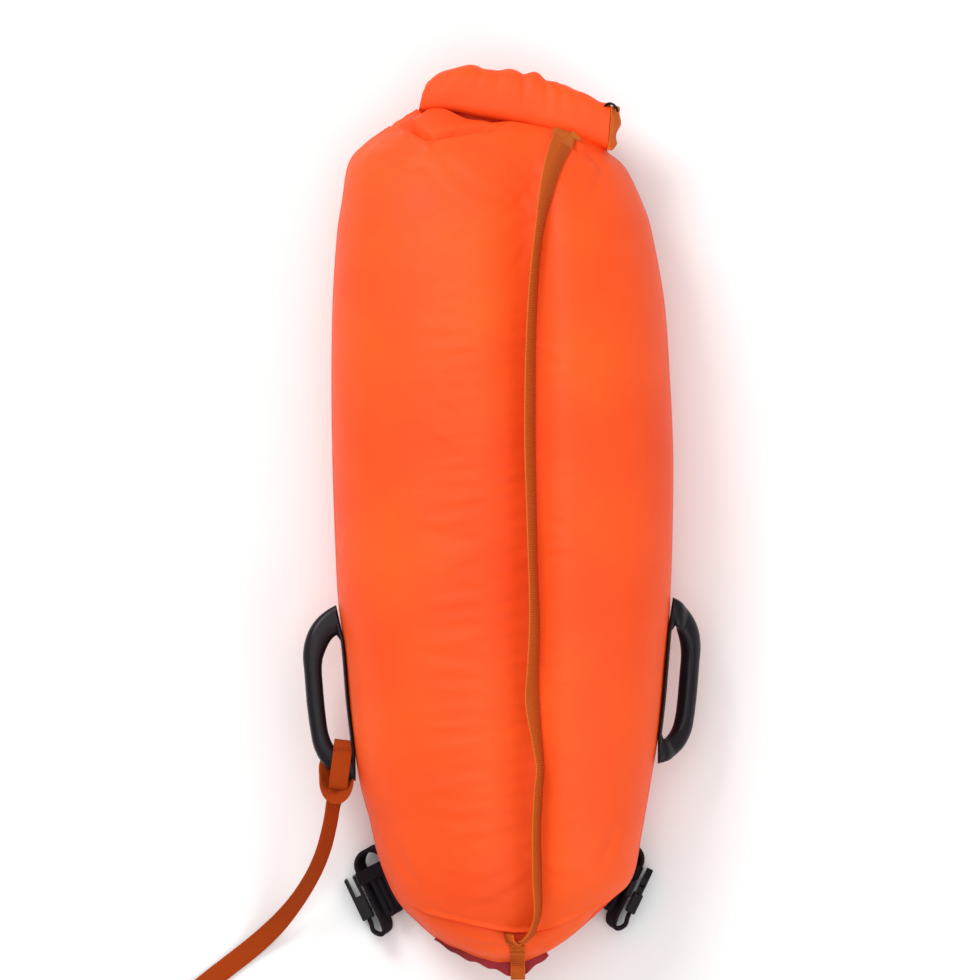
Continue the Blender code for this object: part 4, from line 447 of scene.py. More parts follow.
class BuoySizes(bpy.types.PropertyGroup):
    """The sizes of the detail that is laid over the frame."""

    wrinkle_height: length_property("Wrinkle height", "How high the fine wrinkles of the bag stand", 0.0010)
    weld_width: length_property("Weld width", "Width of the welded band along the side seams", 0.0090)
    strap_rib_pitch: length_property("Strap rib pitch", "From one rib of the ribbed webbing to the next", 0.0020)
    fine_rib_pitch: length_property("Fine rib pitch", "From one rib of the plain webbing to the next", 0.0016)
    stitch_pitch: length_property("Stitch pitch", "From one stitch to the next", 0.0030)
    stitch_thickness: length_property("Thread thickness", "Thickness of the sewing thread", 0.0006)
    thread_spacing: length_property("Thread spacing", "Spacing of the fabric's threads as drawn", 0.0011)


class BuoyColours(bpy.types.PropertyGroup):
    """The colours of the buoy's finishes."""

    fabric: colour_property("Fabric", "Coated nylon of the bag", "FC5B1C")
    fabric_deep: colour_property("Fabric, deep", "Coated nylon where its tone runs deeper", "F44C18")
    webbing: colour_property("Ribbed webbing", "Front strap, tabs and bottom loop", "EA6E2A")
    leash: colour_property("Leash", "Leash webbing", "B04312")
    belt: colour_property("Belt webbing", "Waist belt webbing", "262026")
    # The hem's maroon is painted shade: it stands for the orange back panel's bottom edge in shadow
    hem: colour_property("Hem", "Doubled fabric behind the bottom edge", "96262C")
    handle: colour_property("Handle", "Moulded handles", "181318")
    buckle: colour_property("Buckle", "Side release buckles and valves", "100D11")
    rubber: colour_property("Rubber", "Valve stems", "2C2C2E")
    film: colour_property("Inner film", "Walls between the chambers", "F0A080")
    floor: colour_property("Floor", "Studio floor", "FAFAFA")


# Materials


def add_node(tree, kind, inputs=None, **settings):
    """Adds a node with its settings. An input that is given as a socket is linked."""
    node = tree.nodes.new(kind)
    for key, value in settings.items():
        setattr(node, key, value)
    for key, value in (inputs or {}).items():
        if isinstance(value, bpy.types.NodeSocket):
            tree.links.new(value, node.inputs[key])
        else:
            node.inputs[key].default_value = value
    return node


def new_material(name, roughness, specular):
    """A material by its name, with its node tree and its shader."""
    material = bpy.data.materials.new(name)
    material.use_nodes = True
    shader = material.node_tree.nodes["Principled BSDF"]
    shader.inputs["Roughness"].default_value = roughness
    shader.inputs["Specular IOR Level"].default_value = specular
    return material, material.node_tree, shader


def maths(tree, operation, *values):
    """The output of one step of arithmetic."""
    return add_node(tree, "ShaderNodeMath", dict(enumerate(values)), operation=operation).outputs[0]


def shade(tree, shader, colour, factor):
    """Gives the shader a colour that a factor makes lighter and darker."""
    scaled = add_node(tree, "ShaderNodeVectorMath", {0: colour, "Scale": factor}, operation="SCALE")
    tree.links.new(scaled.outputs[0], shader.inputs["Base Color"])


def waves(tree, value, period, sharpness=1.0):
    """Rounded ridges from 0 to 1 that repeat once a period along a value."""
    wave = maths(tree, "SINE", maths(tree, "MULTIPLY", value, math.pi / period))
    return maths(tree, "POWER", maths(tree, "ABSOLUTE", wave), sharpness)


def coated_nylon(name, light, deep, spacing, roughness=0.50):
    """Nylon with a welded-on coating: a satin face over a fine plain weave, softly crinkled."""
    material, tree, shader = new_material(name, roughness, 0.22)
    place = add_node(tree, "ShaderNodeTexCoord").outputs["Object"]
    metres = add_node(tree, "ShaderNodeUVMap", uv_map="metres").outputs["UV"]
    parts = add_node(tree, "ShaderNodeSeparateXYZ", {0: metres})
    # Broad drifts of tone, a hand's breadth across, where the cloth is stretched or slack
    drift = add_node(tree, "ShaderNodeTexNoise", {"Vector": place, "Scale": 9.0, "Detail": 2.0, "Roughness": 0.5})
    ramp = add_node(tree, "ShaderNodeMapRange", {0: drift.outputs[0], 1: 0.30, 2: 0.72, 3: 0.0, 4: 1.0})
    tone = add_node(
        tree,
        "ShaderNodeMix",
        {"Factor": ramp.outputs[0], "A": (*deep, 1), "B": (*light, 1)},
        data_type="RGBA",
    )
    tree.links.new(tone.outputs["Result"], shader.inputs["Base Color"])
    # Plain weave, real threads 0.5 mm apart, drawn about twice as coarse so that they show
    warp = waves(tree, parts.outputs["X"], spacing)
    weft = waves(tree, parts.outputs["Y"], spacing)
    weave = maths(tree, "MULTIPLY", warp, weft)
    # Crinkles of the coating, 5 to 30 mm long
    crinkle = add_node(
        tree,
        "ShaderNodeTexNoise",
        {"Vector": place, "Scale": 55.0, "Detail": 4.0, "Roughness": 0.55, "Distortion": 0.6},
    )
    soft = add_node(tree, "ShaderNodeBump", {"Strength": 0.35, "Distance": 0.0016, "Height": crinkle.outputs[0]})
    fine = add_node(
        tree, "ShaderNodeBump", {"Strength": 0.30, "Distance": 0.00016, "Height": weave, "Normal": soft.outputs[0]}
    )
    tree.links.new(fine.outputs[0], shader.inputs["Normal"])
    rough = add_node(
        tree, "ShaderNodeMapRange", {0: crinkle.outputs[0], 3: roughness - 0.06, 4: roughness + 0.10}
    )
    tree.links.new(rough.outputs[0], shader.inputs["Roughness"])
    return material


def woven_webbing(name, colour, pitch, columns, painted_groove_shade, depth=0.00055, twill=0.0):
    """Polyester webbing: weft ribs across it, broken by the warp into columns, and a matte face. Its colour is painted
    darker in the grooves, as painted shade, and lighter on the ribs, as painted highlight.
    """
    material, tree, shader = new_material(name, 0.82, 0.08)
    metres = add_node(tree, "ShaderNodeUVMap", uv_map="metres").outputs["UV"]
    parts = add_node(tree, "ShaderNodeSeparateXYZ", {0: metres})
    # In a twill, every other warp column is shifted by a share of a rib
    index = maths(tree, "FLOOR", maths(tree, "DIVIDE", parts.outputs["X"], columns))
    shift = maths(tree, "MULTIPLY", maths(tree, "FLOORED_MODULO", index, 2.0), pitch * twill)
    rib = waves(tree, maths(tree, "ADD", parts.outputs["Y"], shift), pitch, 0.8)
    cord = waves(tree, parts.outputs["X"], columns, 0.6)
    relief = maths(tree, "MULTIPLY", rib, cord)
    fuzz = add_node(tree, "ShaderNodeTexNoise", {"Vector": metres, "Scale": 900.0, "Detail": 2.0})
    # Painted shade in the grooves between ribs and a painted highlight on the rib tops: the colour follows the relief
    tint = add_node(tree, "ShaderNodeMapRange", {0: relief, 3: 1.0 - painted_groove_shade, 4: 1.12})
    worn = add_node(tree, "ShaderNodeMapRange", {0: fuzz.outputs[0], 3: 0.88, 4: 1.10})
    shade(tree, shader, colour, maths(tree, "MULTIPLY", tint.outputs[0], worn.outputs[0]))
    bump = add_node(tree, "ShaderNodeBump", {"Strength": 0.8, "Distance": depth, "Height": relief})
    tree.links.new(bump.outputs[0], shader.inputs["Normal"])
    return material


def moulded_plastic(name, colour, roughness, grain, specular):
    """Injection-moulded plastic: a fine sparked grain that breaks up the gloss, with rubbed patches."""
    material, tree, shader = new_material(name, roughness, specular)
    place = add_node(tree, "ShaderNodeTexCoord").outputs["Object"]
    speck = add_node(tree, "ShaderNodeTexNoise", {"Vector": place, "Scale": 1 / grain, "Detail": 3.0})
    rubbed = add_node(tree, "ShaderNodeTexNoise", {"Vector": place, "Scale": 38.0, "Detail": 3.0, "Roughness": 0.6})
    tint = add_node(tree, "ShaderNodeMapRange", {0: rubbed.outputs[0], 3: 0.86, 4: 1.18})
    shade(tree, shader, colour, tint.outputs[0])
    rough = add_node(
        tree, "ShaderNodeMapRange", {0: rubbed.outputs[0], 3: roughness - 0.07, 4: roughness + 0.12}
    )
    tree.links.new(rough.outputs[0], shader.inputs["Roughness"])
    bump = add_node(tree, "ShaderNodeBump", {"Strength": 0.22, "Distance": 0.00012, "Height": speck.outputs[0]})
    tree.links.new(bump.outputs[0], shader.inputs["Normal"])
    return material


def sewing_thread(name, colour):
    """Twisted polyester thread: matte, with fine turns."""
    material, tree, shader = new_material(name, 0.7, 0.2)
    place = add_node(tree, "ShaderNodeTexCoord").outputs["Object"]
    turns = add_node(tree, "ShaderNodeTexNoise", {"Vector": place, "Scale": 1400.0, "Detail": 1.0})
    tint = add_node(tree, "ShaderNodeMapRange", {0: turns.outputs[0], 3: 0.8, 4: 1.2})
    shade(tree, shader, colour, tint.outputs[0])
    return material


def studio_paper(name, colour):
    """Seamless paper: matte and very slightly mottled. It shows white to the camera and keeps the shadow."""
    material, tree, shader = new_material(name, 0.95, 0.1)
    place = add_node(tree, "ShaderNodeTexCoord").outputs["Object"]
    pulp = add_node(tree, "ShaderNodeTexNoise", {"Vector": place, "Scale": 3.0, "Detail": 2.0})
    tint = add_node(tree, "ShaderNodeMapRange", {0: pulp.outputs[0], 3: 0.985, 4: 1.0})
    shade(tree, shader, colour, tint.outputs[0])
    return material


def finish(name):
    """A finish by name, made when it is first asked for."""
    if name in made:
        return made[name]
    sizes, colours = bpy.context.scene.buoy_sizes, bpy.context.scene.buoy_colours
    chosen = {key: tuple(getattr(colours, key)) for key in colours.__annotations__}
    minor = {key: linear(digits) for key, digits in MINOR_COLOURS.items()}
    thread, rib, fine_rib = sizes.thread_spacing, sizes.strap_rib_pitch, sizes.fine_rib_pitch
    makers = {
        "fabric": lambda: coated_nylon("coated_nylon", chosen["fabric"], chosen["fabric_deep"], thread),
        "weld": lambda: coated_nylon("welded_nylon_tape", chosen["fabric_deep"], minor["weld_deep"], thread, 0.38),
        # The hem's finish is painted shade: the back panel's edge in shadow, not a darker lining fabric
        "hem": lambda: coated_nylon("lining_nylon", chosen["hem"], minor["hem_painted_shade_deep"], thread, 0.6),
        "film": lambda: coated_nylon("chamber_film", chosen["film"], minor["film_deep"], thread, 0.4),
        # For each webbing, the number after the warp columns is how deep the painted shade in its grooves runs
        "webbing": lambda: woven_webbing("ribbed_polyester_webbing", chosen["webbing"], rib, 0.0016, 0.36),
        "leash": lambda: woven_webbing(
            "leash_polyester_webbing", chosen["leash"], fine_rib, 0.0014, 0.35, 0.0003, twill=0.5
        ),
        "belt": lambda: woven_webbing(
            "black_polyester_webbing", chosen["belt"], fine_rib, 0.0016, 0.5, 0.0004, twill=0.5
        ),
        "elastic": lambda: woven_webbing("knitted_elastic", minor["elastic"], 0.0012, 0.0022, 0.55, 0.0005),
        "tape": lambda: woven_webbing("folded_strap_end_tape", minor["tape"], 0.0009, 0.0011, 0.20, 0.0002),
        "handle": lambda: moulded_plastic("moulded_nylon", chosen["handle"], 0.32, 0.0011, 0.20),
        "buckle": lambda: moulded_plastic("moulded_acetal", chosen["buckle"], 0.36, 0.0008, 0.16),
        "rubber": lambda: moulded_plastic("moulded_rubber", chosen["rubber"], 0.62, 0.0006, 0.3),
        "thread": lambda: sewing_thread("orange_brown_thread", minor["thread"]),
        "leash_thread": lambda: sewing_thread("dark_orange_thread", minor["leash_thread"]),
        "black_thread": lambda: sewing_thread("black_thread", minor["black_thread"]),
        "paper": lambda: studio_paper("studio_paper", chosen["floor"]),
    }
    made[name] = makers[name]()
    return made[name]


# Meshes


def new_object(name, data):
    """An object at the origin, in the scene."""
    holder = bpy.data.objects.new(name, data)
    bpy.context.scene.collection.objects.link(holder)
    return holder


def eased(share):
    """A share from 0 to 1, with a soft start and end."""
    return share * share * (3 - 2 * share)


def squared_off(wave, power):
    """A sine or cosine pushed outwards, which turns a circle into a rounded square."""
    return np.sign(wave) * np.abs(wave) ** power


def places_along(line):
    """How far along a line each of its points is."""
    return np.concatenate([[0], np.cumsum(np.linalg.norm(np.diff(line, axis=0), axis=1))])


def in_metres(across, along, rows, columns):
    """The place of each point of a grid on its material, across and along."""
    return np.stack([np.broadcast_to(across, (rows, columns)), np.broadcast_to(along, (rows, columns))], -1)


def grid_quads(rows, columns, wrapped=False):
    """The quads of a grid of points, row by row."""
    r = np.arange(rows - 1)[:, None]
    c = np.arange(columns if wrapped else columns - 1)[None]
    a, b = r * columns + c, r * columns + (c + 1) % columns
    return np.stack([a, b, b + columns, a + columns], -1).reshape(-1, 4)


def tube_faces(rows, columns):
    """The faces of a tube round flat sections, each closed across at the tube's ends."""
    faces = [tuple(f) for f in grid_quads(rows, columns, True)]
    for base in (0, (rows - 1) * columns):
        for k in range(columns // 2 - 1):
            faces.append((base + k, base + k + 1, base + columns - 2 - k, base + columns - 1 - k))
    return faces


def new_piece(name, points, faces, material, uv=None, outwards=True):
    """A smooth object from points and faces, with an optional place in metres for each point."""
    mesh = bpy.data.meshes.new(name)
    mesh.from_pydata(np.asarray(points, float).reshape(-1, 3).tolist(), [], [tuple(map(int, f)) for f in faces])
    if outwards:
        shaped = bmesh.new()
        shaped.from_mesh(mesh)
        bmesh.ops.recalc_face_normals(shaped, faces=shaped.faces)
        if shaped.calc_volume(signed=True) < 0:
            bmesh.ops.reverse_faces(shaped, faces=shaped.faces)
        shaped.to_mesh(mesh)
        shaped.free()
    if uv is not None:
        corners = np.zeros(len(mesh.loops), np.int32)
        mesh.loops.foreach_get("vertex_index", corners)
        layer = mesh.uv_layers.new(name="metres")
        layer.data.foreach_set("uv", np.asarray(uv, np.float32).reshape(-1, 2)[corners].ravel())
    mesh.shade_smooth()
    mesh.set_sharp_from_angle(angle=math.radians(48))
    mesh.materials.append(material)
    return new_object(name, mesh)


def rows_at(table, places):
    """Rows of a table at places counted in rows, on a smooth curve through its rows."""
    table = np.asarray(table, float)
    places = np.asarray(places, float)
    first = np.minimum(places.astype(int), len(table) - 2)
    f = places - first
    f = f.reshape(f.shape + (1,) * (table.ndim - 1))
    a, b, c, d = (table[np.clip(first + k, 0, len(table) - 1)] for k in (-1, 0, 1, 2))
    return 0.5 * (2 * b + (c - a) * f + (2 * a - 5 * b + 4 * c - d) * f**2 + (3 * b - a - 3 * c + d) * f**3)


def smooth_route(route, steps):
    """A route on a smooth curve through its points, with so many steps from each to the next."""
    count = (len(route) - 1) * steps
    return np.vstack([rows_at(route, np.arange(count) / steps), np.asarray(route[-1], float)[None]])


def resampled(line, extra, step):
    """A line, and what goes with each of its points, at an even step. Also gives each point's place along it."""
    line, extra = np.asarray(line, float), np.asarray(extra, float)
    places = places_along(line)
    count = max(2, int(round(places[-1] / step)) + 1)
    at = np.linspace(0, places[-1], count)
    pick = lambda values: np.stack([np.interp(at, places, values[:, k]) for k in range(values.shape[1])], 1)
    return pick(line), pick(extra), at


def unit(vectors):
    """Vectors in the same directions, of length 1."""
    return vectors / np.maximum(np.linalg.norm(vectors, axis=-1, keepdims=True), 1e-12)


def strap_frames(centres, tilts):
    """The direction of a strap's width at each point of its line, its tilt in degrees from level."""
    along = unit(np.gradient(np.asarray(centres, float), axis=0))
    level = np.stack([along[:, 1], -along[:, 0], np.zeros(len(along))], 1)
    flat = np.linalg.norm(level, axis=1) > 0.05
    level = np.where(flat[:, None], unit(level), (1.0, 0.0, 0.0))
    upright = unit(np.cross(level, along))
    upright = np.where((upright[:, 2] < 0)[:, None], -upright, upright)
    angle = np.radians(np.asarray(tilts, float))[:, None]
    return level * np.cos(angle) + upright * np.sin(angle)


def strap_line(centres, wides, step):
    """A strap's line at an even step, the directions of its width and thickness, and each point's place along it."""
    line, wide, at = resampled(centres, wides, step)
    along = unit(np.gradient(line, axis=0))
    wide = unit(wide - along * np.sum(wide * along, 1, keepdims=True))
    return line, wide, np.cross(along, wide), at


def tilted_route(route):
    """A strap's line and the directions of its width, from points given as (x, y, z, tilt in degrees)."""
    smooth = smooth_route(route, 6)
    return smooth[:, :3], strap_frames(smooth[:, :3], smooth[:, 3])


def strap_piece(name, centres, wides, width, thickness, material, step, ribs=None):
    """A woven strap along a line: rounded selvedges, a slightly hollow face, and ribs where they are asked for."""
    line, wide, thick, at = strap_line(centres, wides, step)
    across = np.array([-1, -0.97, -0.88, -0.6, -0.3, 0, 0.3, 0.6, 0.88, 0.97, 1])
    edge = np.array([0.25, 0.8, 1.06, 1.0, 0.97, 0.96, 0.97, 1.0, 1.06, 0.8, 0.25])
    place = np.concatenate([across, across[::-1]])
    height = np.concatenate([edge, -edge[::-1]])
    swell = np.ones(len(at))
    if ribs:
        pitch, rise = ribs
        swell = swell + rise / (thickness / 2) * (np.abs(np.sin(math.pi * at / pitch)) - 0.5)
    points = (
        line[:, None]
        + wide[:, None] * place[None, :, None] * width / 2
        + thick[:, None] * (height[None] * swell[:, None])[..., None] * thickness / 2
    )
    rows, columns = points.shape[:2]
    uv = in_metres((place + 1) * width / 2, at[:, None], rows, columns)
    return new_piece(name, points, tube_faces(rows, columns), material, uv)


def node_copy(name, node, material):
    """A merged copy of a frame node's mesh as a piece that can stand for it, with a place in metres."""
    shaped = bmesh.new()
    shaped.from_mesh(NODES[node].data)
    bmesh.ops.remove_doubles(shaped, verts=shaped.verts, dist=1e-6)
    mesh = bpy.data.meshes.new(name)
    shaped.to_mesh(mesh)
    shaped.free()
    layer = mesh.uv_layers.new(name="metres")
    for loop in mesh.loops:
        co = mesh.vertices[loop.vertex_index].co
        layer.data[loop.index].uv = (co.y, co.z)
    mesh.shade_smooth()
    mesh.set_sharp_from_angle(angle=math.radians(40))
    mesh.materials.clear()
    mesh.materials.append(material)
    return new_object(name, mesh)


def settle(piece, body, *nodes):
    """The piece rides on a body and stands for the nodes it replaces."""
    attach(piece, body)
    if nodes:
        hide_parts(*nodes)
    return piece


# What repeats along a path


def repeat_tree(name, shape):
    """Geometry nodes that set one small shape after another along a path, turned by the path and its normal."""
    tree = bpy.data.node_groups.new(name, "GeometryNodeTree")
    tree.interface.new_socket("Path", in_out="INPUT", socket_type="NodeSocketGeometry")
    for label, value in (("Pitch", 0.002), ("Length", 0.001), ("Width", 0.018), ("Height", 0.0006)):
        socket = tree.interface.new_socket(label, in_out="INPUT", socket_type="NodeSocketFloat")
        socket.default_value = value
    tree.interface.new_socket("Finish", in_out="INPUT", socket_type="NodeSocketMaterial")
    tree.interface.new_socket("Mesh", in_out="OUTPUT", socket_type="NodeSocketGeometry")
    given = tree.nodes.new("NodeGroupInput")
    curve = add_node(tree, "GeometryNodeMeshToCurve", {"Mesh": given.outputs["Path"]})
    stepped = add_node(
        tree,
        "GeometryNodeResampleCurve",
        {"Curve": curve.outputs[0], "Length": given.outputs["Pitch"]},
        mode="LENGTH",
    )
    tangent = add_node(tree, "GeometryNodeInputTangent")
    normal = add_node(tree, "GeometryNodeInputNamedAttribute", {"Name": "out"}, data_type="FLOAT_VECTOR")
    along = add_node(tree, "FunctionNodeAlignRotationToVector", {"Vector": tangent.outputs[0]}, axis="X")
    turned = add_node(
        tree,
        "FunctionNodeAlignRotationToVector",
        {"Rotation": along.outputs[0], "Vector": normal.outputs[0]},
        axis="Z",
        pivot_axis="X",
    )
    if shape == "bar":
        solid = add_node(tree, "GeometryNodeMeshCylinder", {"Vertices": 8, "Radius": 0.5, "Depth": 1.0})
        laid = add_node(
            tree,
            "GeometryNodeTransform",
            {"Geometry": solid.outputs["Mesh"], "Rotation": (math.pi / 2, 0.0, 0.0)},
        ).outputs[0]
    else:
        laid = add_node(
            tree, "GeometryNodeMeshUVSphere", {"Segments": 8, "Rings": 5, "Radius": 0.5}
        ).outputs["Mesh"]
    smooth = add_node(tree, "GeometryNodeSetShadeSmooth", {"Geometry": laid})
    scale = add_node(
        tree,
        "ShaderNodeCombineXYZ",
        {"X": given.outputs["Length"], "Y": given.outputs["Width"], "Z": given.outputs["Height"]},
    )
    placed = add_node(
        tree,
        "GeometryNodeInstanceOnPoints",
        {
            "Points": stepped.outputs[0],
            "Instance": smooth.outputs[0],
            "Rotation": turned.outputs[0],
            "Scale": scale.outputs[0],
        },
    )
    real = add_node(tree, "GeometryNodeRealizeInstances", {"Geometry": placed.outputs[0]})
    painted = add_node(
        tree, "GeometryNodeSetMaterial", {"Geometry": real.outputs[0], "Material": given.outputs["Finish"]}
    )
    result = tree.nodes.new("NodeGroupOutput")
    tree.links.new(painted.outputs[0], result.inputs["Mesh"])
    return tree


def repeated(name, shape, paths, material, body, **sizes):
    """One piece of all that repeats along some paths, each given as (points, outward directions)."""
    key = f"buoy_{shape}s_along_a_path"
    if key not in made:
        made[key] = repeat_tree(key, shape)
    tree = made[key]
    points, edges, outs = [], [], []
    for line, normals in paths:
        first = len(points)
        points += np.asarray(line, float).tolist()
        outs += np.asarray(normals, float).tolist()
        edges += [(first + i, first + i + 1) for i in range(len(line) - 1)]
    mesh = bpy.data.meshes.new(f"{name}_path")
    mesh.from_pydata(points, edges, [])
    attribute = mesh.attributes.new("out", "FLOAT_VECTOR", "POINT")
    attribute.data.foreach_set("vector", np.asarray(outs, np.float32).ravel())
    guide = new_object(f"{name}_guide", mesh)
    modifier = guide.modifiers.new("repeat", "NODES")
    modifier.node_group = tree
    given = {key.capitalize(): size for key, size in sizes.items()}
    given["Finish"] = material
    for item in tree.interface.items_tree:
        if item.item_type == "SOCKET" and item.in_out == "INPUT" and item.name in given:
            modifier[item.identifier] = given[item.name]
    bpy.context.view_layer.update()
    depsgraph = bpy.context.evaluated_depsgraph_get()
    result = bpy.data.meshes.new_from_object(guide.evaluated_get(depsgraph))
    bpy.data.objects.remove(guide, do_unlink=True)
    if not len(result.polygons):
        raise RuntimeError(f"{name} came out empty")
    result.name = name
    if not result.materials:
        result.materials.append(material)
    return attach(new_object(name, result), body)


def stitches(name, paths, thread):
    """Stitches of a thread along some paths on the bag, as one piece."""
    sizes = bpy.context.scene.buoy_sizes
    return repeated(
        name,
        "stitch",
        paths,
        finish(thread),
        "bag",
        pitch=sizes.stitch_pitch,
        length=sizes.stitch_pitch * 0.78,
        width=sizes.stitch_thickness * 1.1,
        height=sizes.stitch_thickness,
    )


# The bag's surface


def bag_surface(places, us, front):
    """Points of the bag's outer surface on a grid of places in stations and shares across."""
    place, u = np.asarray(places, float), np.asarray(us)[None]
    if place.ndim == 1:
        place = np.repeat(place[:, None], u.shape[1], 1)
    ly, lx, ry, rx, front_share, back_share = np.moveaxis(rows_at(STATIONS, place), -1, 0)
    share = (u + 1) / 2
    x = (lx + (rx - lx) * share) * BAG_HALF_WIDTH
    y = BAG_BOTTOM_Y + (ly + (ry - ly) * share) * BAG_LENGTH
    crown = np.maximum(0, 1 - np.abs(u) ** CROWN_POWER) ** 0.5
    lift = np.clip((place - NECK_START * LAST) / ((1 - NECK_START) * LAST), 0, 1)
    seam = SEAM_Z + NECK_LIFT * eased(lift)
    if front:
        reach = np.where(x < VALLEY_X, *VALLEY_REACHES)
        valley = rows_at(VALLEYS, place) * VALLEY_DEPTH
        dip = valley * np.exp(-(((x - VALLEY_X) / reach) ** 2)) * np.minimum(1, 4 * (1 - np.abs(u)))
        z = seam + front_share * FRONT_DEPTH * crown - dip
    else:
        z = np.maximum(0, seam - back_share * BACK_DEPTH * crown)
    return np.stack([x, y, np.broadcast_to(z, x.shape)], -1)


def edge_x(y, side):
    """Where the left (-1) or right (1) edge of the bag is at a height y."""
    fine = np.linspace(0, LAST, 2400)
    rows = rows_at(STATIONS, fine)
    ys = BAG_BOTTOM_Y + rows[:, 0 if side < 0 else 2] * BAG_LENGTH
    return np.interp(y, ys, rows[:, 1 if side < 0 else 3] * BAG_HALF_WIDTH)


def fold(x, y, points, width, depth, above, below, drop=0.0, reach=1.0):
    """The height of one fold: a crease along a line, with a bulge on each side, and a band that drops below it."""
    line = np.asarray(points, float)
    best = np.full(x.shape, 1e9)
    signed = np.zeros(x.shape)
    at = np.zeros(x.shape)
    lengths = np.linalg.norm(np.diff(line, axis=0), axis=1)
    total = lengths.sum()
    before = 0.0
    for a, b, length in zip(line, line[1:], lengths):
        d = (b - a) / length
        s = np.clip((x - a[0]) * d[0] + (y - a[1]) * d[1], 0, length)
        dx, dy = x - a[0] - d[0] * s, y - a[1] - d[1] * s
        distance = np.hypot(dx, dy)
        nearer = distance < best
        best = np.where(nearer, distance, best)
        signed = np.where(nearer, np.sign(d[0] * dy - d[1] * dx) * distance, signed)
        at = np.where(nearer, (before + s) / total, at)
        before += length
    ends = eased(np.clip(np.minimum(at, 1 - at) * 5, 0, 1))
    crease = -depth * np.exp(-((best / width) ** 2))
    up = above * np.exp(-(((signed - 2.1 * width) / (1.5 * width)) ** 2))
    down = below * np.exp(-(((signed + 2.1 * width) / (1.5 * width)) ** 2))
    band = -drop * np.exp(np.minimum(0, signed) / reach) / (1 + np.exp(np.clip(signed / (0.4 * width), -30, 30)))
    return (crease + up + down + band) * ends


def fold_places(us):
    """For each share across, the place at which the front meets the line of the bottom fold."""
    line = np.array(BOTTOM_FOLD[0]) / 1000
    fine = np.linspace(0.5, 7.5, 700)
    spots = bag_surface(fine, us, True)
    over = spots[..., 1] > np.interp(spots[..., 0], line[:, 0], line[:, 1])
    found = fine[np.argmax(over, axis=0)]
    kernel = np.ones(5) / 5
    return np.convolve(np.pad(found, 2, mode="edge"), kernel, mode="valid")


def laid_along_fold(places, meets):
    """Places for each column, drawn together or apart so that one row follows the bottom fold."""
    place, meet = places[:, None], meets[None]
    below = place * meet / FOLD_PLACE
    above = meet + (place - FOLD_PLACE) * (FOLD_REACH - meet) / (FOLD_REACH - FOLD_PLACE)
    return np.where(place <= FOLD_PLACE, below, np.where(place < FOLD_REACH, above, place))


def gathers(x, y, height, seed):
    """The even row of soft ripples that the slack centre gathers into, left of the strap and more faintly right."""
    random = np.random.default_rng(seed)
    total = np.zeros(x.shape)
    at = GATHERS_START
    while at < GATHERS_END:
        lean, bend = random.normal(0.10, 0.05), random.uniform(-2.5, 2.5)
        rise = height * random.uniform(0.55, 1.0) * (1.0 if at < GATHERS_FAINT else 0.55)
        left, right = random.uniform(0.040, 0.054), random.uniform(0.026, 0.034)
        width = random.uniform(0.0044, 0.0060)
        s = x - GATHERS_X
        t = y - at - lean * s - bend * s * s
        fade = np.where(s < 0, np.exp(-((s / left) ** 4)), np.exp(-((s / right) ** 4)))
        total += rise * fade * (np.exp(-((t / width) ** 2)) - 0.75 * np.exp(-(((t + 1.7 * width) / width) ** 2)))
        at += random.uniform(0.0125, 0.0170)
    return total


def scattered_wrinkles(x, y, count, area, seed, height, lean):
    """Short soft wrinkles across the bag, scattered over an area by a fixed seed."""
    random = np.random.default_rng(seed)
    total = np.zeros(x.shape)
    (x0, x1), (y0, y1) = area
    for _ in range(count):
        cx, cy = random.uniform(x0, x1), random.uniform(y0, y1)
        angle = random.normal(0, lean)
        half, width = random.uniform(0.012, 0.030), random.uniform(0.0022, 0.0042)
        rise = height * random.uniform(0.4, 1.0)
        s = (x - cx) * math.cos(angle) + (y - cy) * math.sin(angle)
        t = -(x - cx) * math.sin(angle) + (y - cy) * math.cos(angle) + 12 * s * s * random.uniform(-1, 1)
        ridge = np.exp(-((t / width) ** 2)) - 0.7 * np.exp(-(((t + 2 * width) / width) ** 2))
        total += rise * ridge * np.exp(-((s / half) ** 2))
    return total


def bag_stations():
    """The station of each row of the bag. Rows lie closer together at the bottom fold and at the shoulder's edge."""
    fine = np.linspace(0, LAST, 1600)
    rows = rows_at(STATIONS, fine)
    run = places_along(np.stack([(rows[:, 0] + rows[:, 2]) / 2 * BAG_LENGTH, rows[:, 4] * FRONT_DEPTH], 1))
    dense = 1 + 2.4 * np.exp(-(((fine - FOLD_PLACE) / 0.40) ** 2)) + 1.2 * np.exp(-(((fine - 19.9) / 0.9) ** 2))
    weighed = np.concatenate([[0], np.cumsum(np.diff(run) * (dense[1:] + dense[:-1]) / 2)])
    return np.interp(np.linspace(0, weighed[-1], BAG_ROWS), weighed, fine)


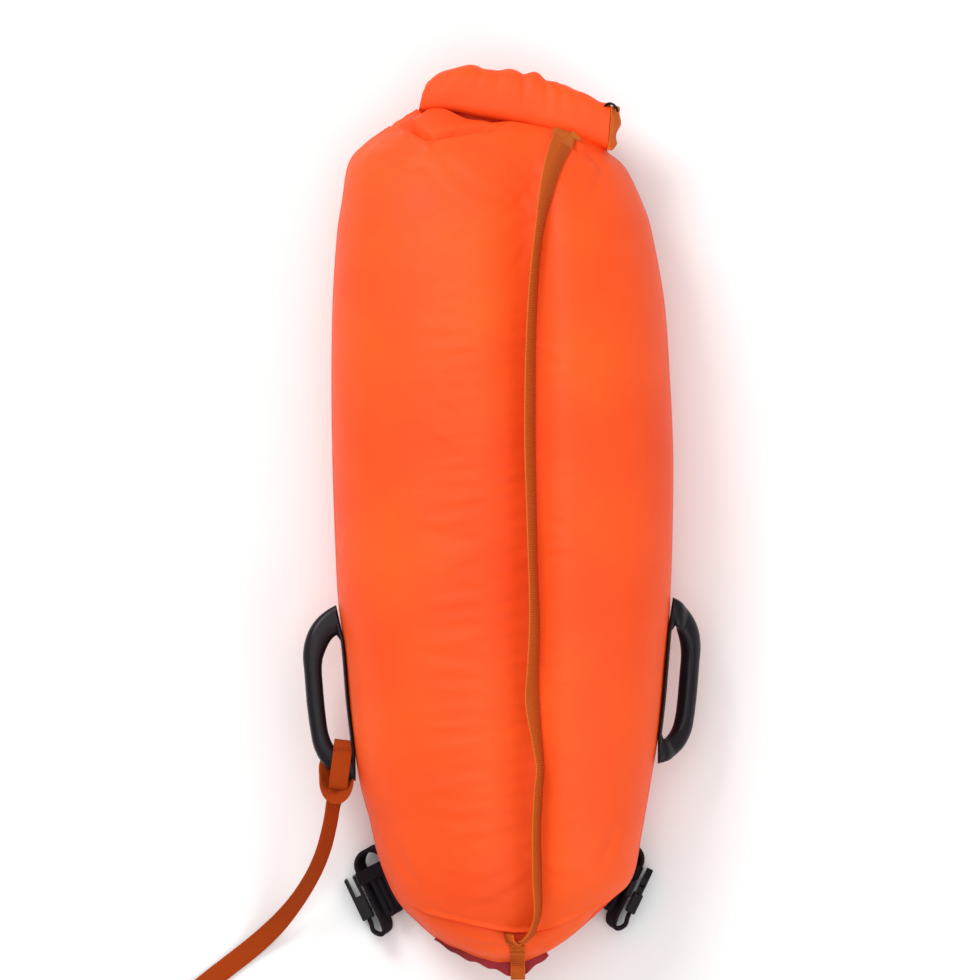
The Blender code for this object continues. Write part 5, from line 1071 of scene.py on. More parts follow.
def hang_shoulder(ring, places, us):
    """Draws the shoulder over the near edge of the rolled mouth, and tucks it in under its own edge."""
    x, y = ring[:, :BAG_COLUMNS, 0].copy(), ring[:, :BAG_COLUMNS, 1].copy()
    neck_y = np.interp(x, x[-1], y[-1])
    over = np.interp(x, *(np.array(SHOULDER_REACH).T / 1000))
    edge_row = int(np.argmin(np.abs(places - SHOULDER_EDGE)))
    shift = (neck_y + over - y)[edge_row][None]
    ease, tuck, most, least = (
        np.interp(places, *np.array(table, float).T)[:, None]
        for table in (SHOULDER_EASE, SHOULDER_TUCK, SHOULDER_MOST, SHOULDER_LEAST)
    )
    above = y + shift * ease
    below = neck_y + np.maximum(np.minimum(over - tuck / 1000, most / 1000), least / 1000)
    blend = eased(np.clip((0.985 - np.abs(np.broadcast_to(us, x.shape))) / 0.10, 0, 1))
    moved = np.where(places[:, None] <= SHOULDER_EDGE, above, below)
    ring[:, :BAG_COLUMNS, 1] = y + (moved - y) * blend


def outward(ring):
    """The direction out of the bag at each point of its rings."""
    middle = (ring.min(1) + ring.max(1)) / 2
    across = np.roll(ring, -1, 1) - np.roll(ring, 1, 1)
    normal = unit(np.cross(np.gradient(ring, axis=0), across))
    return -normal if np.sum(normal * (ring - middle[:, None])) < 0 else normal


def bag_relief(ring, is_front, rim):
    """How far each point of the bag stands out or in, by its folds, ripples, wrinkles, swells and puckers."""
    height = bpy.context.scene.buoy_sizes.wrinkle_height
    x, y = ring[..., 0], ring[..., 1]
    push = np.zeros(x.shape)
    for share, table in ((is_front, FRONT_FOLDS), (is_front, (BOTTOM_FOLD,)), (1 - is_front, BACK_FOLDS)):
        for points, *shape in table:
            push += share * fold(x, y, np.array(points) / 1000, *(value / 1000 for value in shape))
    fine_front = gathers(x, y, height * 1.05, 3)
    for count, area, seed, share, lean in FRONT_WRINKLES:
        fine_front += scattered_wrinkles(x, y, count, area, seed, height * share, lean)
    count, area, seed, share, lean = BACK_WRINKLES
    fine_back = scattered_wrinkles(x, y, count, area, seed, height * share, lean)
    inside = np.clip((1 - rim) / 0.14, 0, 1)
    push += (is_front * fine_front + (1 - is_front) * fine_back) * inside
    # Slow swells of the whole panel
    swell = np.sin(x / 0.019 + 1.3 * np.sin(y / 0.05)) * np.sin(y / 0.031 + 0.7) * 0.0005
    swell += np.sin(y / 0.052 + 2 * np.sin(x / 0.06)) * 0.0008
    push += swell * inside
    # Small puckers that the weld draws into the fabric beside the side seams
    pucker = np.sin(y / 0.0024 + 3 * np.sin(y / 0.021)) * np.exp(-(((1 - rim) / 0.07) ** 2))
    push += 0.00022 * pucker * np.clip((1 - rim) / 0.01, 0, 1)
    row = np.arange(BAG_ROWS)
    return push * np.clip(np.minimum(row, row[::-1]) / 5, 0, 1)[:, None]


def bag_ring():
    """The bag as rings round it, wrinkled, and their normals: front columns from left to right, then back ones."""
    places = bag_stations()
    t = np.linspace(-1, 1, BAG_COLUMNS)
    us = np.sin(math.pi / 2 * t)
    meets = fold_places(us)
    behind = np.interp(us[::-1], (-1, 1), (meets[0], meets[-1]))
    front = bag_surface(laid_along_fold(places, meets), us, True)
    back = bag_surface(laid_along_fold(places, behind), us[::-1], False)[:, 1:-1]
    ring = np.concatenate([front, back], 1)
    hang_shoulder(ring, places, us)
    normal = outward(ring)
    is_front = np.zeros(ring.shape[:2])
    is_front[:, :BAG_COLUMNS] = 1
    rim = np.abs(np.concatenate([t, t[::-1][1:-1]]))[None]
    ring = ring + normal * bag_relief(ring, is_front, rim)[..., None]
    ring[..., 2] = np.maximum(ring[..., 2], FLOOR_GAP)
    # The neck closes on the seam
    seam = SEAM_Z + NECK_LIFT
    ring[-1, :, 2] = np.where(is_front[-1] > 0, seam + 0.0005, seam - 0.0005)
    return ring, normal


def sheet_with_back(name, points, faces, material, uv, inset):
    """A sheet with a second face inside it and a rim that closes it. Inset is the inner points' offset."""
    points, inset, uv = points.reshape(-1, 3), inset.reshape(-1, 3), uv.reshape(-1, 2)
    count = len(points)
    edges = {}
    for face in faces:
        for a, b in zip(face, np.roll(face, -1)):
            key = (min(a, b), max(a, b))
            edges[key] = None if key in edges else (a, b)
    rim = [(a, b, b + count, a + count) for pair in edges.values() if pair for a, b in [pair]]
    every = [tuple(f) for f in faces] + [tuple(reversed(f + count)) for f in faces] + [tuple(reversed(f)) for f in rim]
    return new_piece(name, np.vstack([points, points + inset]), every, material, np.vstack([uv, uv]))


class BUOY_OT_stage(bpy.types.Operator):
    """Makes the studio: a pale floor, soft lamps, the world and the camera above the buoy"""

    bl_idname = "buoy.stage"
    bl_label = "Stage"

    def execute(self, context):
        scene = context.scene
        floor = new_piece(
            "studio_floor",
            [(x * FLOOR_HALF, y * FLOOR_HALF, FLOOR_Z) for x, y in ((-1, -1), (1, -1), (1, 1), (-1, 1))],
            [(0, 1, 2, 3)],
            finish("paper"),
            outwards=False,
        )
        world = bpy.data.worlds.new("studio_air")
        world.use_nodes = True
        sky = world.node_tree.nodes["Background"]
        sky.inputs["Color"].default_value = (*linear("FFFFFF"), 1)
        sky.inputs["Strength"].default_value = SKY_STRENGTH
        scene.world = world
        for name, place, diameter, power in LAMPS:
            lamp = bpy.data.lights.new(name, "AREA")
            lamp.shape = "DISK"
            lamp.size = diameter
            lamp.energy = power
            holder = new_object(name, lamp)
            holder.location = place
            holder.rotation_euler = (Vector((0, 0, 0.05)) - Vector(place)).to_track_quat("-Z", "Y").to_euler()
        lens = bpy.data.cameras.new("camera")
        lens.sensor_width = SENSOR_WIDTH
        lens.clip_end = 50.0
        lens.lens = SENSOR_WIDTH * CAMERA_AWAY / PICTURE_WIDTH
        camera = new_object("camera", lens)
        camera.location = (CAMERA_X, CAMERA_Y, SEAM_Z + CAMERA_AWAY)
        scene.camera = camera
        scene.view_settings.view_transform = "Standard"
        return {"FINISHED"}


class BUOY_OT_leash(bpy.types.Operator):
    """Makes the leash: its hitch round the handle, free tail, coil and sewn end loop"""

    bl_idname = "buoy.leash"
    bl_label = "Leash"

    def execute(self, context):
        route, wides = tilted_route(LEASH_ROUTE)
        low = LEASH_ROUTE[-1][2]
        middle = np.array([LEASH_ROUTE[-1][0] + COIL_RADIUS, LEASH_ROUTE[-1][1]])
        turns = np.linspace(0, COIL_TURNS, 120)[1:]
        angle = math.pi + 2 * math.pi * turns
        radius = COIL_RADIUS - COIL_PITCH * turns
        coil = np.stack([middle[0] + np.cos(angle) * radius, middle[1] + np.sin(angle) * radius], 1)
        shape = smooth_route(END_LOOP, 6)[1:]
        bend = math.pi + 2 * math.pi * COIL_TURNS + shape[:, 0] * END_LOOP_LENGTH / radius[-1]
        out = radius[-1] - shape[:, 1] * END_LOOP_WIDTH
        loop = np.stack([middle[0] + np.cos(bend) * out, middle[1] + np.sin(bend) * out], 1)
        flat = np.vstack([coil, loop])
        line = np.vstack([route, np.hstack([flat, np.full((len(flat), 1), low)])])
        # The width comes to stand upright over the last points before the coil
        standing = np.array((0.0, 0.0, -1.0 if wides[-1][2] < 0 else 1.0))
        turn = np.linspace(0, 1, 12)[:, None]
        wides[-12:] = unit(wides[-12:] * (1 - turn) + standing * turn)
        wides = np.vstack([wides, np.tile(standing, (len(flat), 1))])
        piece = self.webbing("leash_webbing", line, wides, LEASH_WIDTH)
        settle(piece, "bag", "leash_tail", "leash_coil", "leash_end_loop")
        path, path_wides, at = resampled(line, wides, 0.002)
        seams = []
        thick = np.cross(unit(np.gradient(path, axis=0)), unit(path_wides))
        for spots in (slice(1, 9), slice(-34, -24)):
            for side in (-0.36, 0.36):
                for face in (1, -1):
                    seam = path[spots] + path_wides[spots] * side * LEASH_WIDTH + thick[spots] * face * 0.00085
                    seams.append((seam, thick[spots] * face))
        stitches("leash_stitches", seams, "leash_thread")
        self.make_hitch()
        return {"FINISHED"}

    def webbing(self, name, line, wides, width):
        ribs = (bpy.context.scene.buoy_sizes.fine_rib_pitch, LEASH_RIB_HEIGHT)
        return strap_piece(name, line, wides, width, LEASH_THICKNESS, finish("leash"), LEASH_STEP, ribs)

    def make_hitch(self):
        """The band round the handle's lower arm, and the bight that lies over it."""
        angle = np.linspace(0, 2 * math.pi, 49)
        low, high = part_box("leash_hitch")
        half_high = (high.z - low.z) / 2 - 0.0008
        y = squared_off(np.cos(angle), 0.8) * HITCH_HALF_LENGTH
        z = squared_off(np.sin(angle), 0.6) * (half_high + 0.0003)
        x = HITCH.x + HITCH_LEAN * y - 0.0002
        ring = np.stack([x, HITCH.y + y, HITCH.z + z], 1)
        ring[-1] = ring[0]
        wides = np.tile((1.0, -HITCH_LEAN, 0.0), (len(ring), 1))
        settle(self.webbing("leash_hitch_band", ring, wides, HITCH_BAND_WIDTH), "bag", "leash_hitch")
        settle(self.webbing("leash_hitch_bight", *tilted_route(HITCH_BIGHT), HITCH_BIGHT_WIDTH), "bag")
        top = HITCH.z + half_high + 0.0014
        rows = []
        for d in (0.0, 0.0022):
            row = [
                (HITCH.x + HITCH_LEAN * 0.012 + k * 0.0066, HITCH.y + 0.0125 + d, top) for k in np.linspace(-1, 1, 9)
            ]
            rows.append((row, [(0, 0, 1)] * len(row)))
        stitches("leash_hitch_stitches", rows, "leash_thread")


class BUOY_OT_bag(bpy.types.Operator):
    """Makes the bag: its front and back panels with their folds, the welded side seams and the inner walls"""

    bl_idname = "buoy.bag"
    bl_label = "Bag"

    def execute(self, context):
        ring, normal = bag_ring()
        rows, columns = ring.shape[:2]
        span = np.linalg.norm(np.diff(ring, axis=1, append=ring[:, :1]), axis=-1)
        around = np.cumsum(span, 1) - span
        middle = around[rows // 2]
        run = places_along(ring[:, BAG_COLUMNS // 2])
        uv = in_metres(middle, run[:, None], rows, columns)
        for name, picked, node in (
            ("bag_front", np.arange(BAG_COLUMNS), "front_panel"),
            ("bag_back", np.concatenate([np.arange(BAG_COLUMNS - 1, columns), [0]]), "back_panel"),
        ):
            points = ring[:, picked].reshape(-1, 3)
            place = uv[:, picked].copy()
            faces = grid_quads(rows, len(picked))
            if node == "back_panel":
                place[:, -1, 0] = middle[-1] + span[rows // 2, -1]
                faces, points = self.cut_valve_holes(faces, points)
            inset = -normal[:, picked] * PANEL_THICKNESS
            piece = sheet_with_back(name, points, faces, finish("fabric"), place, inset)
            settle(piece, "bag", node)
            made[f"{node}_tree"] = BVHTree.FromPolygons(points.tolist(), [tuple(map(int, f)) for f in faces])
        self.make_weld(ring, normal, context.scene.buoy_sizes.weld_width)
        for side in ("left", "right"):
            wall = node_copy(f"{side}_baffle", f"{side}_chamber_wall", finish("film"))
            settle(wall, "bag", f"{side}_chamber_wall")
        self.make_hem()
        return {"FINISHED"}

    def cut_valve_holes(self, faces, points):
        """Opens a round hole under each valve's flange."""
        keep = np.ones(len(faces), bool)
        points = points.copy()
        for side in ("left", "right"):
            origin, axis = valve_axis(side)
            offset = points - origin
            height = offset @ axis
            flat = offset - height[:, None] * axis
            distance = np.linalg.norm(flat, axis=1)
            near = (distance < VALVE_HOLE) & (np.abs(height) < 0.012)
            gone = near[faces].all(1)
            keep &= ~gone
            used = np.zeros(len(points), bool)
            used[faces[~gone].ravel()] = True
            edge = near & used
            scale = VALVE_HOLE / np.maximum(distance[edge], 1e-9)
            points[edge] = origin + flat[edge] * scale[:, None] + height[edge, None] * axis
        return faces[keep], points

    def make_weld(self, ring, normal, width):
        """The welded band along each side, half on the front panel and half on the back."""
        columns = ring.shape[1]
        for side, seam in (("left", 0), ("right", BAG_COLUMNS - 1)):
            picked = [(seam + k) % columns for k in range(-WELD_REACH, WELD_REACH + 1)]
            line = ring[WELD_ROWS, picked]
            out = normal[WELD_ROWS, picked]
            middle = line[:, WELD_REACH : WELD_REACH + 1]
            spread = line - middle
            half = np.linalg.norm(spread[:, -1], axis=1).mean()
            line = middle + spread * min(1.0, width / 2 / half)
            rise = np.array(WELD_PROFILE)[None, :, None] * WELD_HEIGHT
            points = line + out * (WELD_LIFT + rise)
            rows, across = points.shape[:2]
            run = places_along(points[:, WELD_REACH])
            piece = sheet_with_back(
                f"{side}_seam_weld",
                points,
                grid_quads(rows, across),
                finish("weld"),
                in_metres(np.linspace(0, width, across), run[:, None], rows, across),
                -(out * (WELD_THICKNESS + rise)),
            )
            settle(piece, "bag")

    def make_hem(self):
        """The crescent of doubled fabric behind the bottom edge, softly rippled. Its dark maroon is painted shade: the
        back panel's edge in shadow, drawn as a darker colour.
        """
        outer, inner = (smooth_route(np.array(edge) / 1000, 8) for edge in (HEM_OUTER, HEM_INNER))
        count, across = len(outer), 9
        share = np.linspace(0, 1, across)[None, :, None]
        plan = inner[:, None] * (1 - share) + outer[:, None] * share
        plan = plan + np.array([0.35, -1.0]) * (0.0009 * np.sin(plan[..., :1] / 0.0026) * share**2)
        ripple = 0.0012 * np.sin(plan[..., 0] / 0.0031) * share[..., 0]
        body = 0.0012 * np.sqrt(np.clip(1 - (share[..., 0] * 0.98) ** 4, 0, 1)) + 0.0001
        z = SEAM_Z + ripple
        top = np.concatenate([plan, (z + body)[..., None]], -1)
        low = np.concatenate([plan, (z - body)[..., None]], -1)
        piece = sheet_with_back("bottom_hem_fabric", top, grid_quads(count, across), finish("hem"), plan, low - top)
        settle(piece, "bag", "bottom_hem")


def valve_axis(side):
    """A valve's origin on the back panel, and its outward axis, which is that of its collar's joint."""
    joint = next(j for j in frame["joints"] if j["name"] == f"{side}_valve_turn")
    return np.array(VALVES[side]), unit(np.array(joint["axis"], float))


def top_z(x, y):
    """The height of the bag's front at a place, or None beside it."""
    hit = made["front_panel_tree"].ray_cast(Vector((x, y, 0.4)), Vector((0, 0, -1)))[0]
    return None if hit is None else hit.z


def under_z(x, y):
    """The height of the bag's back at a place, or None beside it."""
    hit = made["back_panel_tree"].ray_cast(Vector((x, y, -0.2)), Vector((0, 0, 1)))[0]
    return None if hit is None else hit.z


def rested(line, tilts, width, thickness, clear=0.0006):
    """A strap's centres, at the heights at which its sections, turned by their tilts, rest on the bag's front."""
    centres = np.hstack([np.asarray(line)[:, :2], np.full((len(line), 1), 0.16)])
    heights = []
    along = unit(np.gradient(centres, axis=0))
    side_way = np.stack([along[:, 1], -along[:, 0]], 1)
    for (x, y, _), side, tilt in zip(centres, side_way, np.radians(tilts)):
        best = []
        for k in np.linspace(-1, 1, 9):
            for m in (-1, 1):
                out = width / 2 * k * math.cos(tilt) - m * thickness / 2 * math.sin(tilt)
                up = width / 2 * k * math.sin(tilt) + m * thickness / 2 * math.cos(tilt)
                top = top_z(x + side[0] * out, y + side[1] * out)
                if top is not None:
                    best.append(top - up)
        heights.append(max(best) + clear if best else math.nan)
    # Beyond the edge of the panel the strap dips in under the roll
    heights = np.array(heights)
    known = np.flatnonzero(~np.isnan(heights))
    for i in np.flatnonzero(np.isnan(heights)):
        nearest = known[np.argmin(np.abs(known - i))]
        heights[i] = heights[nearest] - 1.6 * np.hypot(*(centres[i] - centres[nearest])[:2])
    centres[:, 2] = heights
    for _ in range(5):
        wides = strap_frames(centres, tilts)
        thick = np.cross(unit(np.gradient(centres, axis=0)), wides)
        for i in range(len(centres)):
            deep = 0.0
            for k in np.linspace(-1, 1, 9):
                for m in (-1, 1):
                    spot = centres[i] + wides[i] * width / 2 * k + thick[i] * thickness / 2 * m
                    top = top_z(spot[0], spot[1])
                    if top is not None:
                        deep = max(deep, top + clear - spot[2])
            centres[i, 2] += deep
    return centres


class BUOY_OT_straps(bpy.types.Operator):
    """Makes the ribbed strap down the front, its folded top end and the webbing loop over the bottom edge"""

    bl_idname = "buoy.straps"
    bl_label = "Front strap and bottom loop"

    def execute(self, context):
        sizes = context.scene.buoy_sizes
        route = [(x * BAG_HALF_WIDTH, BAG_BOTTOM_Y + y * BAG_LENGTH, tilt) for x, y, tilt in STRAP_ROUTE]
        line = smooth_route(route, 5)
        tilts = line[:, 2]
        centres = rested(line, tilts, WEBBING_WIDTH, WEBBING_THICKNESS)
        height = centres[:, 2]
        for _ in range(3):
            height[1:-1] = np.maximum(height[1:-1], (height[:-2] + height[2:]) / 2)
        wides = strap_frames(centres, tilts)
        strap = strap_piece(
            "front_strap_webbing", centres, wides, WEBBING_WIDTH - 0.0012, CORE_THICKNESS, finish("webbing"), 0.002
        )
        settle(strap, "bag", "front_strap")
        # The doubled end is bound with smooth tape, and the ribs begin below it
        tape = strap_piece(
            "front_strap_end_tape", centres[:STRAP_TAPED], wides[:STRAP_TAPED], WEBBING_WIDTH - 0.0004, 0.0022,
            finish("tape"), 0.001,
        )
        settle(tape, "bag")
        ribbed = slice(STRAP_TAPED - 1, None)
        self.rib("front_strap_ribs", centres[ribbed], wides[ribbed], WEBBING_WIDTH - 0.0026, sizes.strap_rib_pitch)
        self.make_flap()
        self.make_loop(sizes.strap_rib_pitch)
        return {"FINISHED"}

    def rib(self, name, centres, wides, width, pitch):
        """Weft ribs across both faces of a strap."""
        line, _, thick, _ = strap_line(centres, wides, 0.001)
        paths = [(line + thick * face * CORE_THICKNESS / 2, thick * face) for face in (1, -1)]
        return repeated(
            name, "bar", paths, finish("webbing"), "bag",
            pitch=pitch, length=pitch * 0.72, width=width, height=RIB_HEIGHT,
        )

    def make_flap(self):
        """The corner of the strap's folded end, where it comes out from under the rolled mouth."""
        line = smooth_route(CORNER_ROUTE, 6)
        share = np.linspace(0, 1, len(line))[:, None]
        centres = rested(line, line[:, 2], CORNER_WIDTH, 0.0012, 0.0004)
        wides = strap_frames(centres, line[:, 2])
        spots = np.linspace(-1, 1, 9)[None, :, None]
        half = CORNER_WIDTH / 2 * (1 - share[..., None] ** 1.3) + 0.0004
        points = centres[:, None] + wides[:, None] * spots * half
        points[..., 2] = np.maximum(points[..., 2], centres[:, None, 2] - 0.0005)
        rows, columns = points.shape[:2]
        piece = sheet_with_back(
            "front_strap_corner",
            points,
            grid_quads(rows, columns),
            finish("tape"),
            in_metres(spots[..., 0] * CORNER_WIDTH, share * 0.014, rows, columns),
            np.tile((0, 0, -0.0010), (rows * columns, 1)),
        )
        settle(piece, "bag")

    def make_loop(self, rib_pitch):
        """The webbing over the bottom edge: down the front, round the hem and back under."""

        def heights(height_at, y):
            found = (height_at(LOOP_X + k * LOOP_WIDTH / 4, y) for k in (-2, -1, 0, 1, 2))
            return [z for z in found if z]

        front = [(y, max(heights(top_z, y)) + LOOP_OFF) for y in np.linspace(*LOOP_FRONT, 8)]
        back = [(y, min(heights(under_z, y)) - LOOP_OFF) for y in np.linspace(*LOOP_BACK, 6)]
        round_hem = [
            (LOOP_BEND, SEAM_Z + LOOP_BEND_REACH),
            (LOOP_TIP, SEAM_Z + LOOP_TIP_REACH),
            (LOOP_TIP, SEAM_Z - LOOP_TIP_REACH),
            (LOOP_BEND, SEAM_Z - LOOP_BEND_REACH),
        ]
        line = smooth_route([(LOOP_X, y, z) for y, z in front + round_hem + back], 5)
        line[:, 0] += 0.0004 * np.clip((line[:, 1] + 0.350) / -0.034, 0, 1)
        wides = np.tile((1.0, 0.0, 0.0), (len(line), 1))
        piece = strap_piece(
            "bottom_loop_webbing", line, wides, LOOP_WIDTH - 0.001, CORE_THICKNESS, finish("webbing"), 0.001
        )
        settle(piece, "bag", "bottom_loop")
        self.rib("bottom_loop_ribs", line, wides, LOOP_WIDTH - 0.0024, rib_pitch)
        down = line[: len(line) // 2]
        rows = []
        for y in (-0.3612, -0.3650):
            z = np.interp(-y, -down[:, 1], down[:, 2]) + 0.0013
            row = [(x, y, z) for x in np.linspace(LOOP_X - 0.0052, LOOP_X + 0.0052, 8)]
            rows.append((row, [(0, -0.3, 1)] * len(row)))
        stitches("bottom_loop_stitches", rows, "thread")


# The rolled mouth

NECK_ENDS = rows_at(STATIONS, np.array([float(LAST)]))[0]
NECK_LEFT = np.array((NECK_ENDS[1] * BAG_HALF_WIDTH, BAG_BOTTOM_Y + NECK_ENDS[0] * BAG_LENGTH))
NECK_RIGHT = np.array((NECK_ENDS[3] * BAG_HALF_WIDTH, BAG_BOTTOM_Y + NECK_ENDS[2] * BAG_LENGTH))
ROLL_ALONG = np.array((*unit(NECK_RIGHT - NECK_LEFT), 0.0))
ROLL_ACROSS = np.array((-ROLL_ALONG[1], ROLL_ALONG[0], 0.0))
ROLL_MIDDLE = (
    np.array((*((NECK_LEFT + NECK_RIGHT) / 2), SEAM_Z + NECK_LIFT + ROLL_HALF_HEIGHT - ROLL_LAYER / 2))
    + ROLL_ALONG * ROLL_SHIFT
    + ROLL_ACROSS * (ROLL_TAIL + 0.0005)
)


def smooth_table(table, places, unit_size=0.001):
    """Values of a table of (place, value) at places, rounded off between its entries."""
    table = np.array(table, float)
    fine = np.arange(table[0, 0] - 4, table[-1, 0] + 4, 0.25)
    values = np.interp(fine, table[:, 0], table[:, 1])
    kernel = np.exp(-((np.arange(-12, 13) / 5.0) ** 2))
    smooth = np.convolve(np.pad(values, 12, mode="edge"), kernel / kernel.sum(), mode="valid")
    return np.interp(places / unit_size, fine, smooth) * unit_size


def roll_points(along, across, up):
    """Points given along the roll, across it towards the top of the buoy, and up from its middle."""
    along, across, up = np.broadcast_arrays(along, across, up)
    return (
        ROLL_MIDDLE
        + along[..., None] * ROLL_ALONG
        + across[..., None] * ROLL_ACROSS
        + up[..., None] * np.array((0.0, 0.0, 1.0))
    )


class BUOY_OT_mouth(bpy.types.Operator):
    """Makes the rolled mouth with its scalloped edge, the webbing tabs at its ends and the stiffener inside"""

    bl_idname = "buoy.mouth"
    bl_label = "Rolled mouth"

    def execute(self, context):
        self.make_roll()
        self.make_tabs()
        self.make_stiffener()
        return {"FINISHED"}

    def make_roll(self):
        """The mouth's fabric, wound into a flat spiral whose edges follow what the photograph shows."""
        straight = ROLL_HALF_WIDTH - ROLL_HALF_HEIGHT
        turn = np.arange(int(ROLL_TURNS * ROLL_STEPS) + 1) / ROLL_STEPS
        angle = -math.pi / 2 + 2 * math.pi * turn
        radius = ROLL_HALF_HEIGHT - ROLL_LAYER / 2 - ROLL_PITCH * turn
        shift = straight * np.tanh(3 * np.cos(angle))
        wound = np.stack([shift + radius * np.cos(angle), radius * np.sin(angle)], 1)
        low = -(ROLL_HALF_HEIGHT - ROLL_LAYER / 2)
        tail = np.stack([np.linspace(-ROLL_TAIL, -0.003, 8), np.full(8, low)], 1)
        line = np.vstack([tail, wound])
        direction = unit(np.gradient(line, axis=0))
        out = np.stack([-direction[:, 1], direction[:, 0]], 1) * (ROLL_LAYER / 2 * 0.92)
        outline = np.vstack([line + out, (line - out)[::-1]])
        count = len(outline)
        left_end = np.linspace(ROLL_LEFT_END, ROLL_LEFT_FULL, 12)[:-1]
        s = np.concatenate([left_end, np.linspace(ROLL_LEFT_FULL, ROLL_RIGHT_END, 152)])[:, None]
        far = smooth_table(ROLL_FAR, s)
        near = smooth_table(ROLL_NEAR, s)
        rise = smooth_table(ROLL_RISE, s * 1000, 1.0)
        theta = np.arctan2(outline[:, 1] * 1.3, outline[:, 0])[None]
        share = (outline[None, :, 0] + ROLL_HALF_WIDTH) / (2 * ROLL_HALF_WIDTH)
        top = np.clip(np.sin(theta), 0, 1)
        sag = np.zeros((len(s), count))
        far_side = np.clip(share * 1.5 - 0.45, 0, 1)
        for at, reach, depth, lean in ROLL_NOTCHES:
            centre = at + lean * 0.020 * (1 - np.clip(share, 0, 1))
            sag -= depth * np.exp(-(((s - centre) / reach) ** 2)) * far_side
            sag += 0.35 * depth * np.exp(-(((s - centre - 2 * reach) / reach) ** 2)) * far_side
        for place, lean, centre, half, depth in ROLL_CREASES:
            line_at = place + lean * (s - centre)
            length = np.exp(-(((s - centre) / half) ** 2))
            sag -= depth * np.exp(-(((share - line_at) / 0.045) ** 2)) * length
            sag += 0.6 * depth * np.exp(-(((share - line_at - 0.10) / 0.05) ** 2)) * length
        sag = sag * top
        waver = 0.0005 * np.sin(s / 0.0041 + 2 * theta) * np.clip(share, 0, 1)
        across = near + share * (far - near) + waver
        up = ROLL_END_HEIGHT + (outline[None, :, 1] - ROLL_END_HEIGHT) * rise + sag
        up = np.maximum(up, low - ROLL_LAYER / 2)
        skew = -ROLL_SKEW * (across - ROLL_NEAR_EDGE) * np.clip((s - 0.030) / 0.049, 0, 1) ** 1.5
        points = roll_points(s + skew, across, up)
        rows = len(s)
        run = places_along(line)
        uv = in_metres(np.concatenate([run, run[::-1]]), s, rows, count)
        piece = new_piece("mouth_roll", points, tube_faces(rows, count), finish("fabric"), uv)
        settle(piece, "bag", "closure_roll")

    def make_stiffener(self):
        """The strip inside the roll. Its end shows as a black edge above the right tab."""
        spots = smooth_route(np.array(STIFFENER_ROUTE) / 1000, 8)
        line = roll_points(spots[:, 0], spots[:, 1], spots[:, 2])
        flat = np.tile(ROLL_ACROSS, (len(line), 1))
        upright = np.tile((0.0, 0.0, 1.0), (len(line), 1))
        turn = np.clip((spots[:, 0] - 0.056) / 0.014, 0, 1)[:, None]
        wides = unit(flat * (1 - turn) + upright * turn)
        piece = strap_piece(
            "mouth_stiffener", line, wides, STIFFENER_WIDTH, STIFFENER_THICKNESS, finish("buckle"), 0.0015
        )
        settle(piece, "bag", "closure_stiffener")

    def make_tabs(self):
        """The webbing from each end of the roll to its half of the buckle, and the fold in the socket's slot."""
        end = ROLL_HALF_LENGTH
        plug_bar = CLOSURE_MOUTH + PLUG_BASE_LENGTH
        low = -CLOSURE_DROP
        right = (
            (ROLL_RIGHT_END + 0.0002, -0.0050, 0.0088),
            (ROLL_RIGHT_END + 0.0028, -0.0046, 0.0074),
            (end + 0.70 * TAB_TURN, -0.0024, 0.0010),
            (end + 0.84 * TAB_TURN, 0, -0.36 * CLOSURE_DROP),
            (end + 0.80 * TAB_TURN, 0, -0.70 * CLOSURE_DROP),
            (end + 0.5 * TAB_TURN, 0.5 * CLOSURE_SIDE, -0.93 * CLOSURE_DROP),
            (end, 0.9 * CLOSURE_SIDE, low),
            (plug_bar + 0.0008, CLOSURE_SIDE, low),
        )
        socket_bar = CLOSURE_MOUTH - SOCKET_LENGTH
        under = low - BUCKLE_HEIGHT / 2 - WEBBING_THICKNESS
        # The left tab leaves from under the roll's full end, which hides it from the front
        drop = 0.0104
        inward = 0.0036
        back = -ROLL_TAIL * 0.52 - 0.0030
        left = (
            (-end - 0.0008 + inward, back, -drop),
            (-end - 0.5 * LEFT_TAB_TURN + inward, back, -drop - 0.03 * CLOSURE_DROP),
            (-end - 0.9 * LEFT_TAB_TURN + inward, 0.9 * back, -drop - 0.14 * CLOSURE_DROP),
            (-end - LEFT_TAB_TURN + inward, 0.75 * back, -drop - 0.34 * CLOSURE_DROP),
            (-end - 0.8 * LEFT_TAB_TURN + inward, 0.5 * back, under + 0.16 * CLOSURE_DROP),
            (-end + 0.5 * LEFT_TAB_TURN + 0.5 * inward, 0.25 * back, under),
            (-0.6 * end, CLOSURE_SIDE, under),
            (socket_bar - 6 * SLOT_LENGTH, CLOSURE_SIDE, low - 0.1 * BUCKLE_HEIGHT),
            (socket_bar - 2 * SLOT_LENGTH - 0.0004, CLOSURE_SIDE, low),
        )
        chape = tuple((a, CLOSURE_SIDE, low) for a in (socket_bar - 0.0076, socket_bar - 0.0038, socket_bar - 0.0008))
        for name, route, width, node in (
            ("mouth_tab_right", right, TAB_WIDTHS["right"], "closure_tab_right"),
            ("mouth_tab_left", left, TAB_WIDTHS["left"], "closure_tab_left"),
            ("mouth_tab_chape", chape, WEBBING_WIDTH, "closure_tab_chape"),
        ):
            piece = self.tab(name, route, width, node == "closure_tab_right")
            if node == "closure_tab_right":
                start = roll_points(end, 0.0, 0.0)
                stop = roll_points(end, 0.0, low + 0.0020)
                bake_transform(piece)
                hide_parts(node)
            else:
                settle(piece, "bag", node)

